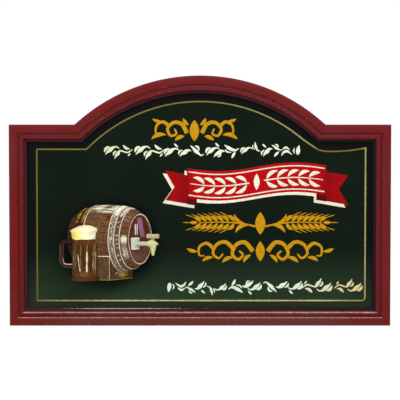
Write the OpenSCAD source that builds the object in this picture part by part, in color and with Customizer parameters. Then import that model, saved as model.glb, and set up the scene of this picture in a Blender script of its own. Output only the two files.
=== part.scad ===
// Arched tavern sign. A mitred, moulded frame holds a painted board, and a barrel, a mug and a
// tap stand out from the board in flattened relief. Two D-rings on the back hang it on a wall.
// The front faces -Y and the wall is the plane Y = 0. The origin is the middle of the bottom
// rail's back face, where the sign bears on the wall.

/* [Outline] */
// Overall width
sign_w = 610; // [560:1:700]
// Height of the straight shoulders above the bottom edge
shoulder_h = 322; // [300:1:380]
// Width of the arch where it leaves the shoulders
arch_chord = 400; // [360:1:440]
// Rise of the arch above the shoulders
arch_rise = 78; // [60:1:90]

/* [Moulding] */
// Width from the outer edge to the sight edge
rail_w = 27.5; // [26:0.5:34]
// Depth from back to front
rail_d = 25; // [24:0.5:32]
// Width of the crowned outer band
band_w = 14; // [12:0.5:15]
// Height of the band's crown
band_crown = 0.8; // [0.4:0.1:1.4]
// Width of the worn edge along the outside of the band
edge_wear = 1; // [0.5:0.1:1.5]
// Width of the groove between band and bead
quirk_w = 1.5; // [1:0.1:2]
// Depth of the groove between band and bead
quirk_d = 3; // [2:0.1:4]
// Radius of the bead
bead_r = 4.25; // [3.75:0.05:4.5]
// Drop from the top of the band to the top of the bead
bead_drop = 1.5; // [0.5:0.1:2]
// Height of the sight lip above the board
lip_h = 4.5; // [3:0.1:6]
// Width of the rabbet behind the sight lip
rabbet_w = 8; // [6:0.5:9]

/* [Board] */
// Thickness of the board
board_t = 6; // [4:0.5:8]
// Space behind the board, out to the frame's back
board_back = 7; // [6:0.5:9]
// Clearance round the board in its rabbet
board_gap = 0.5; // [0.2:0.1:1]

/* [Barrel] */
// Distance of the barrel's middle from the sign's left edge
barrel_in = 161; // [150:1:180]
// Height of the barrel's middle above the bottom edge
barrel_h = 140; // [130:1:180]
// Length of the barrel
barrel_len = 109; // [100:1:120]
// Radius at the belly
belly_r = 54; // [50:0.5:58]
// Radius at the ends
end_r = 41; // [38:0.5:44]
// Turn of the barrel's axis towards the viewer, in degrees
barrel_turn = 26; // [20:1:30]
// Depth of the relief against a full round
flatten = 0.4; // [0.34:0.01:0.46]
// Distance of the barrel's middle in front of the board
barrel_stand = 12; // [10:0.5:14]
// Thickness of the staves at the ends
stave_t = 4; // [3:0.5:5]
// Depth of the head below the rim
head_inset = 2.5; // [1.5:0.5:4]
// Thickness of the head
head_t = 4; // [3:0.5:6]
// Distance from the barrel's middle to the first hoop in front
hoop_from = 24.5; // [22:0.5:25]
// Distance from the barrel's middle to the first hoop behind
rear_hoop_from = 20; // [18:0.5:23]
// Width of the hoops nearer to the belly
hoop_w = 10; // [8:0.5:11]
// Width of the studded hoop in front
stud_hoop_w = 8; // [6:0.5:9]
// Width of the studded hoop behind
rear_stud_hoop_w = 12.5; // [10:0.5:14]
// Thickness of the hoops
hoop_t = 1.2; // [0.8:0.1:1.6]
// Distance of the bung from the barrel's middle along the axis
bung_along = 18.5; // [12:0.5:19]
// Height of the bung round the barrel, in degrees from the side
bung_angle = 42; // [30:1:50]
// Radius of the bung
bung_r = 3.2; // [2:0.1:4]
// Length of the bung in the barrel
bung_in = 6; // [4:0.5:8]
// Height of the bung above the staves
bung_out = 1.4; // [1:0.1:3]

/* [Cradle] */
// Turn of the cradle's length towards the viewer
cradle_turn = 22.5; // [18:0.5:26]
// Half of the cradle's width across the barrel
cradle_half = 48; // [44:0.5:50]
// Distance from the barrel's middle to the cradle's front face
cradle_front = 21.5; // [17:0.5:23]
// Distance from the barrel's middle to the cradle's rear face
cradle_rear = 44; // [40:0.5:48]
// Height of the cradle's sides
cradle_h = 38.5; // [34:0.5:42]
// Height of the relief's foot above the bottom edge
foot_h = 75.5; // [68:0.5:80]

/* [Mug] */
// Distance of the mug's axis to the left of the barrel's middle
mug_left = 38.5; // [35:0.5:43]
// Height of the glass
mug_h = 65; // [58:1:70]
// Radius of the glass at its rim
mug_r = 19.5; // [18:0.5:21]
// Radius of the glass above its foot
waist_r = 19; // [17:0.5:19.5]
// Radius of the foot
foot_r = 22.3; // [21:0.1:24]
// Height of the foot's straight edge
foot_edge = 4; // [3:0.5:6]
// Height of the flare above the foot's edge
flare_h = 7; // [5:0.5:9]
// Distance of the mug's axis in front of the board
mug_stand = 22.5; // [20:0.5:25]
// Distance of the mug's flat back in front of the board
mug_seat = 15; // [13:0.5:16]
// Radius of the foam where it overhangs the rim
foam_r = 21.5; // [20.5:0.5:23]
// Height of the foam's sides
foam_side = 13.8; // [12:0.1:16]
// Height of the foam's dome
foam_dome = 8.2; // [7:0.1:11]
// Reach of the handle beyond the glass
handle_reach = 20; // [17:0.5:24]
// Height of the handle
handle_h = 45.5; // [38:0.5:48]
// Thickness of the handle, seen from the front
handle_t = 6.4; // [5:0.1:7.5]
// Depth of the handle
handle_d = 8; // [6:0.5:10]
// Radius of the handle's outer corners
handle_r = 12; // [9:0.5:14]
// Distance of the handle's middle in front of the board
handle_stand = 25; // [25:0.5:28]

/* [Tap] */
// Distance of the tap from the head's centre towards the viewer
tap_across = 17.5; // [15:0.5:20]
// Distance of the tap below the head's centre
tap_drop = 6.6; // [5:0.1:8]
// Side of the square flange
flange_w = 19; // [16:0.5:20]
// Thickness of the flange
flange_t = 6; // [4:0.5:7]
// Distance from the flange's seat to the middle of the tap's body
tap_reach = 31.5; // [28:0.5:35]
// Radius of the stem
stem_r = 3.4; // [2.8:0.1:4]
// Length of the stem inside the body
stem_in = 4; // [3:0.5:5]
// Radius of the body at its middle
body_r = 6.9; // [6:0.1:8]
// Half of the body's length
body_half = 8.6; // [7.5:0.1:10]
// Radius of the body's nose
nose_r = 0.8; // [0.5:0.1:1.2]
// Length of the spout below the tap's axis
spout_len = 18.5; // [16:0.5:22]
// Radius of the spout at the tap's axis
spout_r = 6.4; // [5.5:0.1:6.6]
// Radius of the spout's tip
spout_tip = 1.7; // [1:0.1:2.5]
// Height of the key's bar above the tap's axis
key_rise = 12; // [11.2:0.1:14.5]
// Length of the key's bar
key_len = 21; // [18:0.5:24]
// Radius of the key's bar
key_r = 3.9; // [3.2:0.1:4.2]
// Radius of the key's post
post_r = 2.4; // [1.8:0.1:2.8]
// Depth of the post's socket, measured up from the tap's axis
post_foot = 1; // [0.5:0.1:2]

/* [Hangers] */
// Distance of the rings' pivots below the shoulders
hang_drop = 60; // [50:1:90]
// Distance of the hangers from the sign's outer edge
hang_inset = 12.5; // [12:0.5:13.5]
// Width of a strap
strap_w = 9.5; // [8:0.5:11]
// Thickness of one layer of a strap
strap_t = 0.9; // [0.7:0.1:1.1]
// Length of a strap below its eye
strap_len = 24; // [22:0.5:30]
// Distance from a strap's end to its screw
strap_end = 6; // [5:0.5:7]
// Radius of the ring's wire
wire_r = 1.2; // [1:0.1:1.4]
// Radius of the ring's bow at the middle of its wire
ring_r = 10; // [9:0.25:10.5]
// Length of the ring's bar past the middle of its bow
bar_over = 1; // [0.5:0.1:1.2]
// Clearance round the wire in the strap's eye
eye_gap = 0.08; // [0.05:0.01:0.1]
// Clearance between the hanging ring and its strap
ring_gap = 0.3; // [0.2:0.05:0.5]

/* [Fixings] */
// Radius of a screw's shank
shank_r = 1.6; // [1.3:0.1:1.8]
// Radius of a screw's head
screw_head_r = 3.2; // [2.8:0.1:3.6]
// Height of a screw's head
screw_head_h = 2; // [1.6:0.1:2.4]
// Length of a screw in the wood
screw_in = 12; // [9:0.5:14]
// Distance of the near relief screws to the left of the barrel's middle
screw_near = 6; // [4:1:10]
// Distance of the far relief screws to the left of the barrel's middle
screw_far = 34; // [28:1:36]
// Clearance of a shank in the board or a strap
shank_gap = 0.3; // [0.2:0.05:0.5]
// Width of a steel point
point_w = 8; // [6:0.5:12]
// Thickness of a steel point
point_t = 0.6; // [0.4:0.1:1]
// Length of a point over the board
point_out = 9; // [7:0.5:12]
// Length of a point in the rail
point_in = 6; // [4:0.5:8]
// Length of a corner fastener across its mitre
fastener_len = 16; // [12:0.5:17]
// Depth that a corner fastener is driven
fastener_d = 8; // [5:0.5:10]
// Thickness of a corner fastener
fastener_t = 0.8; // [0.6:0.1:1]
// Height of a corner fastener's waves
fastener_wave = 1.6; // [1:0.1:2]
// How far a corner fastener is sunk below the back
fastener_sunk = 0.4; // [0.2:0.1:1]
// Clearance between glued pieces and round driven ones
fit_gap = 0.1; // [0.05:0.01:0.15]

/* [Hidden] */
$fn = 64;
LEFT = -1;
RIGHT = 1;

// Length that carries a cut clear of the face it starts from
clear = 1;
// Back face of a rail, between the outer edge and the rabbet
back_w = rail_w - rabbet_w;
// Places across the sign, with the origin in the middle of the bottom rail's back
x_barrel = barrel_in - sign_w / 2;
x_mug = x_barrel - mug_left;
// Heights
z_bottom = -back_w / 2;
z_shoulder = z_bottom + shoulder_h;
z_top = z_shoulder + arch_rise;
z_foot = z_bottom + foot_h;
z_barrel = z_bottom + barrel_h;
z_tap = z_barrel - tap_drop;
// Radius and centre of the arch's outer edge
arch_r = (pow(arch_chord / 2, 2) + pow(arch_rise, 2)) / (2 * arch_rise);
z_arch = z_top - arch_r;
arch_half_angle = asin(arch_chord / 2 / arch_r);
// Front face of the board, measured from the frame's back
board_v = board_back + board_t;
// Moulding: radius of the band's crown, and the bead's centre
crown_r = (pow(band_w / 2, 2) + pow(band_crown, 2)) / (2 * band_crown);
bead_u = band_w + quirk_w + bead_r;
bead_v = rail_d - bead_drop - bead_r;
// Barrel: radius of the staves' curve, and the two planes of its head
stave_r = (pow(barrel_len / 2, 2) + pow(belly_r - end_r, 2)) / (2 * (belly_r - end_r));
head_front = barrel_len / 2 - head_inset;
head_back = head_front - head_t;
// Tap: turn of its axis in plan, flattened as the barrel's is
tap_turn = atan(flatten * tan(barrel_turn));
// Hangers: the eye, and the lean that keeps the hanging ring off its strap
eye_r = wire_r + eye_gap;
eye_out = eye_r + strap_t;
ring_lean = asin((2 * strap_t + ring_gap + wire_r - eye_out) / (ring_r - wire_r));
z_hang = z_shoulder - hang_drop;
// Room that holds the whole relief in front of the board
relief_room = belly_r + end_r;

// Inner corner of the frame at a distance u from its outer edge, where a shoulder meets the arch
function spring_point(u) =
    [sqrt(pow(arch_r - u, 2) - pow(z_shoulder - u - z_arch, 2)), z_shoulder - u];

// Ends of the mitre lines on the left-hand side, from the outer edge in by u
function bottom_mitre(u) = [[-sign_w / 2, z_bottom], [u - sign_w / 2, z_bottom + u]];
function top_mitre(u) = [[-sign_w / 2, z_shoulder], [u - sign_w / 2, z_shoulder - u]];
function spring_mitre(u) = [for (v = [0, u]) [-spring_point(v)[0], spring_point(v)[1]]];
function flip(points) = [for (p = points) [-p[0], p[1]]];

// Place in plan of a point of the relief, flattened: along an axis turned from the barrel's
// middle towards the viewer, and across it
function turned_plan(turn, along, across) = [
    x_barrel + along * cos(turn) - across * sin(turn),
    -board_v - barrel_stand - flatten * (along * sin(turn) + across * cos(turn))
];
function barrel_plan(along, across) = turned_plan(barrel_turn, along, across);
function cradle_plan(along, across) = turned_plan(cradle_turn, along, across);

// Solid with a front-view outline, from the plane y_back forward by depth
module front_prism(points, y_back, depth) {
    translate([0, y_back, 0]) rotate([90, 0, 0]) linear_extrude(depth) polygon(points);
}

// Everything in front of a plane parallel to the board, at a distance from it
module in_front_of_board(distance) {
    translate([-sign_w / 2, -board_v - distance - relief_room, z_bottom])
        cube([sign_w, relief_room, shoulder_h]);
}

// Moulding section: u runs in from the outer edge, v runs out from the back
module moulding() {
    difference() {
        union() {
            intersection() {
                square([band_w, rail_d]);
                translate([band_w / 2, rail_d - crown_r]) circle(crown_r, $fn = 180);
            }
            square([bead_u, rail_d - quirk_d]);
            translate([bead_u, bead_v]) circle(bead_r);
            square([rail_w, board_v + lip_h]);
        }
        translate([back_w, -clear]) square([rabbet_w + clear, board_v + clear]);
        translate([0, rail_d - band_crown])
            polygon([[-clear, -edge_wear - clear], [edge_wear + clear, clear], [-clear, clear]]);
    }
}

// Straight moulding along X, outer edge at Z = 0, sight edge upwards
module straight_stock(length) {
    rotate([90, 0, 0]) rotate([90, 0, 90]) linear_extrude(length, center = true) moulding();
}

// Curved moulding of the arch, longer than the arch at both ends
module arch_stock() {
    spare = 4;
    sweep = 2 * (arch_half_angle + spare);
    translate([0, 0, z_arch]) rotate([90, 0, 0]) rotate([0, 0, 90 - sweep / 2])
        rotate_extrude(angle = sweep, $fn = 360) translate([arch_r, 0]) mirror([1, 0]) moulding();
}

// Frames of reference on the outer edge: X along the edge, Z inwards
module on_bottom(x) { translate([x, 0, z_bottom]) children(); }
module on_stile(side, z) { translate([side * sign_w / 2, 0, z]) rotate([0, -90 * side, 0]) children(); }
module on_shoulder(x) { translate([x, 0, z_shoulder]) rotate([0, 180, 0]) children(); }
module on_arch(angle) {
    translate([0, 0, z_arch]) rotate([0, angle, 0]) translate([0, 0, arch_r]) rotate([0, 180, 0]) children();
}

// Wavy steel strip across a mitre, from the plane y_back forward
module corner_fastener(mitre, y_back) {
    middle = (mitre[0] + mitre[1]) / 2;
    run = mitre[1] - mitre[0];
    waves = 6;
    crest = [for (i = [0:waves]) [(i / waves - 0.5) * fastener_len, (i % 2 - 0.5) * fastener_wave]];
    trough = [for (i = [waves:-1:0]) crest[i] - [0, fastener_t]];
    translate([middle[0], 0, middle[1]]) rotate([0, 90 - atan2(run[1], run[0]), 0])
        front_prism(concat(crest, trough), y_back, fastener_d + y_back);
}

module all_fasteners(y_back) {
    left = [bottom_mitre(back_w), top_mitre(back_w), spring_mitre(back_w)];
    for (mitre = left) {
        corner_fastener(mitre, y_back);
        corner_fastener(flip(mitre), y_back);
    }
}

// Flat point over the board's back edge, driven into the rail; Z = 0 is the outer edge
module steel_point() {
    translate([-point_w / 2, -board_back, back_w - point_in])
        cube([point_w, point_t, point_in + board_gap + point_out]);
}

// Points in the middles of equal stretches: four along the bottom, three up a stile, three on the arch
module all_points() {
    bottom_step = sign_w / 4;
    stile_step = shoulder_h / 3;
    arch_step = 2 * arch_half_angle / 3;
    for (i = [-1.5:1.5]) on_bottom(i * bottom_step) steel_point();
    for (side = [LEFT, RIGHT]) {
        for (i = [0.5:2.5]) on_stile(side, z_bottom + i * stile_step) steel_point();
        on_shoulder(side * (sign_w / 2 + spring_point(0)[0]) / 2) steel_point();
    }
    for (i = [-1:1]) on_arch(i * arch_step) steel_point();
}

// Screw with its head on the plane Y = 0, driven towards -Y
module screw(length) {
    tip = 2 * shank_r;
    slot_w = shank_r / 2;
    crown = 0.75 * screw_head_r;
    difference() {
        rotate([-90, 0, 0]) cylinder(h = screw_head_h, r1 = screw_head_r, r2 = crown);
        translate([-screw_head_r, screw_head_h / 2, -slot_w / 2])
            cube([2 * screw_head_r, screw_head_h, slot_w]);
    }
    rotate([90, 0, 0]) cylinder(h = length - tip, r = shank_r);
    translate([0, tip - length, 0]) rotate([90, 0, 0]) cylinder(h = tip, r1 = shank_r, r2 = shank_r / 4);
}

// Round hole along Y from the plane Y = 0 towards -Y
module screw_hole(length, r) {
    translate([0, clear, 0]) rotate([90, 0, 0]) cylinder(h = length + clear, r = r);
}

// Places of the relief's screws: two in the barrel, two in the cradle
module at_relief_screws() {
    for (left = [screw_near, screw_far]) {
        for (z = [z_barrel, z_foot + cradle_h / 5]) {
            translate([x_barrel - left, -board_back, z]) children();
        }
    }
}

module at_hanger_screw(side) {
    translate([side * (sign_w / 2 - hang_inset), 0, z_hang - strap_len + strap_end]) children();
}

// Rail cut to its front-view outline, with the slots of its fixings
module rail(outline) {
    difference() {
        intersection() {
            children();
            front_prism(outline, clear, rail_d + 2 * clear);
        }
        all_fasteners(clear);
        all_points();
        for (side = [LEFT, RIGHT]) at_hanger_screw(side) screw_hole(screw_in + fit_gap, shank_r + fit_gap);
    }
}

module bottom_rail() {
    m = bottom_mitre(rail_w);
    color("#6e2a2c") rail(concat(m, [flip(m)[1], flip(m)[0]])) on_bottom(0) straight_stock(sign_w);
}

module stile(side) {
    outline = concat(bottom_mitre(rail_w), [top_mitre(rail_w)[1], top_mitre(rail_w)[0]]);
    color("#6e2a2c") rail(side == LEFT ? outline : flip(outline))
        on_stile(side, z_bottom + shoulder_h / 2) straight_stock(shoulder_h);
}

module shoulder_rail(side) {
    outline = concat(top_mitre(rail_w), [spring_mitre(rail_w)[1], spring_mitre(rail_w)[0]]);
    color("#6e2a2c") rail(side == LEFT ? outline : flip(outline))
        on_shoulder(side * sign_w / 2) straight_stock(sign_w);
}

module arch_rail() {
    m = spring_mitre(rail_w);
    above = [[-m[0][0], z_top + clear], [m[0][0], z_top + clear]];
    color("#6e2a2c") rail(concat(m, [flip(m)[1], flip(m)[0]], above)) arch_stock();
}

module corner_fasteners() {
    color("#8b8d8f") all_fasteners(-fastener_sunk);
}

// Board, inside the rabbet by its clearance
module sign_panel() {
    edge = back_w + board_gap;
    color("#1b2c20") difference() {
        translate([0, -board_back, 0]) rotate([90, 0, 0]) linear_extrude(board_t) {
            translate([edge - sign_w / 2, z_bottom + edge])
                square([sign_w - 2 * edge, shoulder_h - 2 * edge]);
            intersection() {
                translate([0, z_arch]) circle(arch_r - edge, $fn = 360);
                translate([-arch_chord / 2, z_shoulder - 2 * edge])
                    square([arch_chord, arch_rise + 2 * edge]);
            }
        }
        at_relief_screws() screw_hole(board_t + clear, shank_r + shank_gap);
    }
}

module panel_points() {
    color("#9a9c9e") all_points();
}

// Puts a solid of revolution about Z on the barrel's axis, flattened towards the board
module on_barrel() {
    translate([x_barrel, -board_v - barrel_stand, z_barrel]) scale([1, flatten, 1])
        rotate([0, 0, -barrel_turn]) rotate([0, 90, 0]) children();
}

// Half section of the barrel between two distances along its axis, grown by extra
module stave_section(from, to, extra) {
    intersection() {
        translate([belly_r - stave_r, 0]) circle(stave_r + extra, $fn = 180);
        translate([0, from]) square([belly_r + extra + clear, to - from]);
    }
}

// Flattened round about the barrel's axis, joined from four quarters
module flat_round() {
    for (turn = [0:90:270]) {
        on_barrel() rotate([0, 0, turn]) rotate_extrude(angle = 90, $fn = 96) children();
    }
}

module barrel_round(extra) {
    end = barrel_len / 2;
    flat_round() stave_section(-end, end, extra);
}

// Round plug or hole square to the staves, from a distance out of the barrel's axis
module bung_round(from, length, r) {
    for (turn = [0:90:270]) {
        on_barrel() rotate([0, 0, 90 - bung_angle]) translate([0, 0, bung_along]) rotate([0, -90, 0])
            translate([0, 0, from]) rotate([0, 0, turn]) rotate_extrude(angle = 90) square([r, length]);
    }
}

// Room that the mug takes out of the pieces behind it
module mug_room() {
    mug_glass(fit_gap);
    mug_head(fit_gap);
}

// Room beside the mug, on its handle's side and in front of its flat back
module handle_room() {
    y_back = fit_gap - board_v - mug_seat;
    translate([x_mug - relief_room, y_back - relief_room, z_foot - fit_gap])
        cube([relief_room, relief_room, mug_h + foam_side + 2 * fit_gap]);
}

module barrel_body() {
    color("#5a3520") difference() {
        intersection() {
            barrel_round(0);
            in_front_of_board(0);
        }
        flat_round() translate([0, head_back]) square([end_r - stave_t, barrel_len]);
        bung_round(belly_r - bung_in - fit_gap, belly_r, bung_r + fit_gap);
        mug_room();
        handle_room();
        at_relief_screws() screw_hole(board_t + screw_in + fit_gap, shank_r + fit_gap);
    }
}

module barrel_head() {
    color("#50261c") flat_round() translate([0, head_back + fit_gap])
        square([end_r - stave_t - fit_gap, head_t - fit_gap]);
}

// Band round the staves between two distances along the barrel's axis
module hoop(from, to) {
    difference() {
        intersection() {
            flat_round() difference() {
                stave_section(from, to, hoop_t);
                stave_section(from - clear, to + clear, fit_gap);
            }
            in_front_of_board(0);
        }
        mug_room();
        handle_room();
    }
}

// Room that the hoops take out of the cradle
module hoop_room() {
    front = hoop_from + hoop_w + stud_hoop_w + 2 * fit_gap;
    rear = rear_hoop_from + hoop_w + rear_stud_hoop_w + 2 * fit_gap;
    flat_round() stave_section(hoop_from - fit_gap, front, hoop_t + fit_gap);
    flat_round() stave_section(-rear, fit_gap - rear_hoop_from, hoop_t + fit_gap);
}

module front_hoop() {
    color("#8c8878") hoop(hoop_from, hoop_from + hoop_w);
}

module front_stud_hoop() {
    start = hoop_from + hoop_w + fit_gap;
    color("#6b5f50") hoop(start, start + stud_hoop_w);
}

module rear_hoop() {
    color("#8c8878") hoop(-rear_hoop_from - hoop_w, -rear_hoop_from);
}

module rear_stud_hoop() {
    start = rear_hoop_from + hoop_w + fit_gap;
    color("#6b5f50") hoop(-start - rear_stud_hoop_w, -start);
}

module bung() {
    color("#8c1616") bung_round(belly_r - bung_in, bung_in + bung_out, bung_r);
}

// Block under the barrel, hollowed to its round
module cradle() {
    corners = [[-cradle_rear, -1], [cradle_front, -1], [cradle_front, 1], [-cradle_rear, 1]];
    color("#4a2c1c") difference() {
        intersection() {
            translate([0, 0, z_foot]) linear_extrude(cradle_h)
                polygon([for (c = corners) cradle_plan(c[0], c[1] * cradle_half)]);
            in_front_of_board(0);
        }
        barrel_round(fit_gap);
        hoop_room();
        mug_room();
        handle_room();
        at_relief_screws() screw_hole(board_t + screw_in + fit_gap, shank_r + fit_gap);
    }
}

// Puts an upright solid of revolution on the mug's axis and cuts it to its flat back
module on_mug(height, slack) {
    intersection() {
        translate([x_mug, -board_v - mug_stand, z_foot + height]) children();
        in_front_of_board(mug_seat - slack);
    }
}

module mug_glass(slack) {
    flare_top = foot_edge + flare_h;
    on_mug(0, slack) rotate_extrude($fn = 96) polygon([
        [0, -slack],
        [foot_r + slack, -slack],
        [foot_r + slack, foot_edge],
        [waist_r + slack, flare_top],
        [mug_r + slack, mug_h],
        [0, mug_h]
    ]);
}

module mug_head(slack) {
    dome_r = (pow(foam_r, 2) + pow(foam_dome, 2)) / (2 * foam_dome);
    on_mug(mug_h, slack) rotate_extrude($fn = 96) {
        polygon([[0, 0], [mug_r + slack, 0], [foam_r + slack, foam_side], [0, foam_side]]);
        intersection() {
            translate([0, foam_side + foam_dome - dome_r]) circle(dome_r + slack, $fn = 180);
            translate([0, foam_side]) square([foam_r + slack, foam_dome + clear]);
        }
    }
}

module mug_body() {
    color("#5b3420") mug_glass(0);
}

module mug_foam() {
    color("#e8dfa0") mug_head(0);
}

// Quarter of a ring about the origin, in the quadrant of the signs x and z
module quarter(x, z) {
    intersection() {
        difference() {
            circle(handle_r);
            circle(handle_r - handle_t);
        }
        translate([x < 0 ? -handle_r : 0, z < 0 ? -handle_r : 0]) square(handle_r);
    }
}

module mug_handle() {
    left = x_mug - mug_r - handle_reach;
    top = z_foot + mug_h;
    bottom = top - handle_h;
    arm = mug_r + handle_reach - handle_r;
    y_back = -board_v - handle_stand + handle_d / 2;
    color("#532a26") difference() {
        translate([0, y_back, 0]) rotate([90, 0, 0]) linear_extrude(handle_d) {
            translate([left, bottom + handle_r]) square([handle_t, handle_h - 2 * handle_r]);
            translate([left + handle_r, top - handle_r]) quarter(-1, 1);
            translate([left + handle_r, bottom + handle_r]) quarter(-1, -1);
            translate([left + handle_r, top - handle_t]) square([arm, handle_t]);
            translate([left + handle_r, bottom]) square([arm, handle_t]);
        }
        mug_room();
    }
}

// Puts a solid on the tap's axis: X along the axis from the flange's seat
module on_tap() {
    seat = barrel_plan(head_front, tap_across);
    translate([seat[0], seat[1], z_tap]) rotate([0, 0, -tap_turn]) children();
}

module tap_pipe(r, from, to) {
    on_tap() translate([from, 0, 0]) rotate([0, 90, 0]) cylinder(h = to - from, r = r);
}

// Square plate that lies flat on the head
module tap_flange() {
    near = tap_across + flange_w / 2;
    far = tap_across - flange_w / 2;
    face = head_front + fit_gap;
    front = head_front + flange_t;
    corners = [[face, near], [face, far], [front, far], [front, near]];
    color("#c9cbb4") difference() {
        translate([0, 0, z_tap - flange_w / 2]) linear_extrude(flange_w)
            polygon([for (c = corners) barrel_plan(c[0], c[1])]);
        tap_pipe(stem_r + fit_gap, -relief_room, relief_room);
    }
}

// Pipe from the head's face, through the flange, into the body
module tap_stem() {
    face = head_front + fit_gap;
    corners = [[face, -1], [face, 1], [-relief_room, 1], [-relief_room, -1]];
    color("#c9cbb4") difference() {
        tap_pipe(stem_r, -body_half, tap_reach - body_half + stem_in);
        translate([0, 0, z_tap - flange_w]) linear_extrude(2 * flange_w)
            polygon([for (c = corners) barrel_plan(c[0], c[1] * relief_room)]);
    }
}

// Double cone with the spout below it, bored for the stem and for the key's post
module tap_body() {
    color("#c5c795") difference() {
        on_tap() translate([tap_reach, 0, 0]) {
            rotate([0, 90, 0]) cylinder(h = body_half, r1 = body_r, r2 = nose_r);
            rotate([0, -90, 0]) cylinder(h = body_half, r1 = body_r, r2 = stem_r + 2 * fit_gap);
            translate([0, 0, -spout_len]) cylinder(h = spout_len, r1 = spout_tip, r2 = spout_r);
        }
        tap_pipe(stem_r + fit_gap, 0, tap_reach - body_half + stem_in + fit_gap);
        on_tap() translate([tap_reach, 0, post_foot]) cylinder(h = body_r, r = post_r + fit_gap);
    }
}

module tap_handle() {
    bevel = key_r / 3;
    half = key_len / 2;
    section = [[0, -half], [key_r - bevel, -half], [key_r, bevel - half], [key_r, half - bevel],
        [key_r - bevel, half], [0, half]];
    color("#cbbf90") on_tap() translate([tap_reach, 0, 0]) {
        translate([0, 0, key_rise]) rotate([0, 90, 0]) rotate_extrude() polygon(section);
        translate([0, 0, post_foot + fit_gap]) cylinder(h = key_rise - post_foot, r = post_r);
    }
}

module relief_screws() {
    color("#b0a060") at_relief_screws() screw(board_t + screw_in);
}

// Places a hanger's own frame: X along the pivot, Y away from the wood, Z up
module at_hanger(side) {
    translate([side * (sign_w / 2 - hang_inset), 0, z_hang]) children();
}

// Strap folded round the wire: an eye, and two layers below it
module hanger_strap(side) {
    color("#b9b6ae") difference() {
        at_hanger(side) rotate([90, 0, 90]) linear_extrude(strap_w, center = true) difference() {
            union() {
                translate([eye_out, 0]) circle(eye_out);
                translate([0, -strap_len]) square([2 * strap_t, strap_len]);
            }
            translate([eye_out, 0]) circle(eye_r);
        }
        at_hanger_screw(side) translate([0, 2 * strap_t, 0]) screw_hole(strap_w, shank_r + shank_gap);
    }
}

// D-shaped wire ring, hanging down and leaning off its strap
module hanger_ring(side) {
    bar_half = ring_r + bar_over;
    color("#c4c0b4") at_hanger(side) translate([0, eye_out, 0]) rotate([ring_lean, 0, 0]) {
        translate([-bar_half, 0, 0]) rotate([0, 90, 0]) cylinder(h = 2 * bar_half, r = wire_r);
        rotate([-90, 0, 0]) rotate_extrude(angle = 180, $fn = 96) translate([ring_r, 0]) circle(wire_r);
    }
}

module hanger_screws() {
    color("#b0a060") for (side = [LEFT, RIGHT]) {
        at_hanger_screw(side) translate([0, 2 * strap_t, 0]) screw(2 * strap_t + screw_in);
    }
}

bottom_rail();
stile(LEFT);  // left_stile
stile(RIGHT);  // right_stile
shoulder_rail(LEFT);  // left_shoulder_rail
shoulder_rail(RIGHT);  // right_shoulder_rail
arch_rail();
corner_fasteners();
sign_panel();
panel_points();
barrel_body();
barrel_head();
front_hoop();
front_stud_hoop();
rear_hoop();
rear_stud_hoop();
bung();
cradle();
mug_body();
mug_foam();
mug_handle();
tap_flange();
tap_stem();
tap_body();
tap_handle();
relief_screws();
hanger_strap(LEFT);  // hanger_strap_left
hanger_strap(RIGHT);  // hanger_strap_right
hanger_ring(LEFT);  // hanger_ring_left
hanger_ring(RIGHT);  // hanger_ring_right
hanger_screws();
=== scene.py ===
"""Looks of the arched tavern sign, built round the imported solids. The front faces -Y."""
import math
import random

import bmesh
import bpy
import numpy as np
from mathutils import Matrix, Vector, noise


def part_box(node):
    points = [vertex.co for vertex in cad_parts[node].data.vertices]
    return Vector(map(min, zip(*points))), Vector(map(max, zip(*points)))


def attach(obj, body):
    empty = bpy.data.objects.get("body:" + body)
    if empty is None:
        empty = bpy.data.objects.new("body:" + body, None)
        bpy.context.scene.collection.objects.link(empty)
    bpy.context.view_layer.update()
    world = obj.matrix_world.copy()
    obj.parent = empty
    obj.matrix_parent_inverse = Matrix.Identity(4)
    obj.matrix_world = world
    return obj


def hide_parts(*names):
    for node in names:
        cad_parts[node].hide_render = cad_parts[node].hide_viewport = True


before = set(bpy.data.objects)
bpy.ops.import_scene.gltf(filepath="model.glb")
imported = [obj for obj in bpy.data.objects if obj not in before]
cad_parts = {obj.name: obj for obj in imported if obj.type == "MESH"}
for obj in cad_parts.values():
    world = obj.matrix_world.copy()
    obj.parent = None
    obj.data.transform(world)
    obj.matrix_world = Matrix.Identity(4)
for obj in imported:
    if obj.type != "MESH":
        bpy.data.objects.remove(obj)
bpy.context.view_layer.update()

MM = 0.001
scene = bpy.context.scene
scene.view_settings.view_transform = "Standard"


def span(node, axis):
    """Lowest and highest place of a node along an axis, in millimetres."""
    low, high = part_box(node)
    return low[axis] / MM, high[axis] / MM


# Outline, in millimetres, from the frame
HALF_W = span("bottom_rail", 0)[1]
Z_BOTTOM = span("bottom_rail", 2)[0]
Z_SHOULDER = span("left_stile", 2)[1]
Z_TOP = span("arch_rail", 2)[1]
HALF_CHORD = span("arch_rail", 0)[1]
RAIL_D = -span("bottom_rail", 1)[0]
BOARD_V = -span("sign_panel", 1)[0]
ARCH_RISE = Z_TOP - Z_SHOULDER
ARCH_R = (HALF_CHORD ** 2 + ARCH_RISE ** 2) / (2 * ARCH_RISE)
Z_ARCH = Z_TOP - ARCH_R

# Moulding, as in the solids
RAIL_W = 27.5
BACK_W = 19.5
BAND_W = 14
BAND_CROWN = 0.8
QUIRK_W = 1.5
QUIRK_D = 3
BEAD_R = 4.25
BEAD_DROP = 1.5
LIP_H = 4.5
BEAD_U = BAND_W + QUIRK_W + BEAD_R
BEAD_V = RAIL_D - BEAD_DROP - BEAD_R

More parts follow.
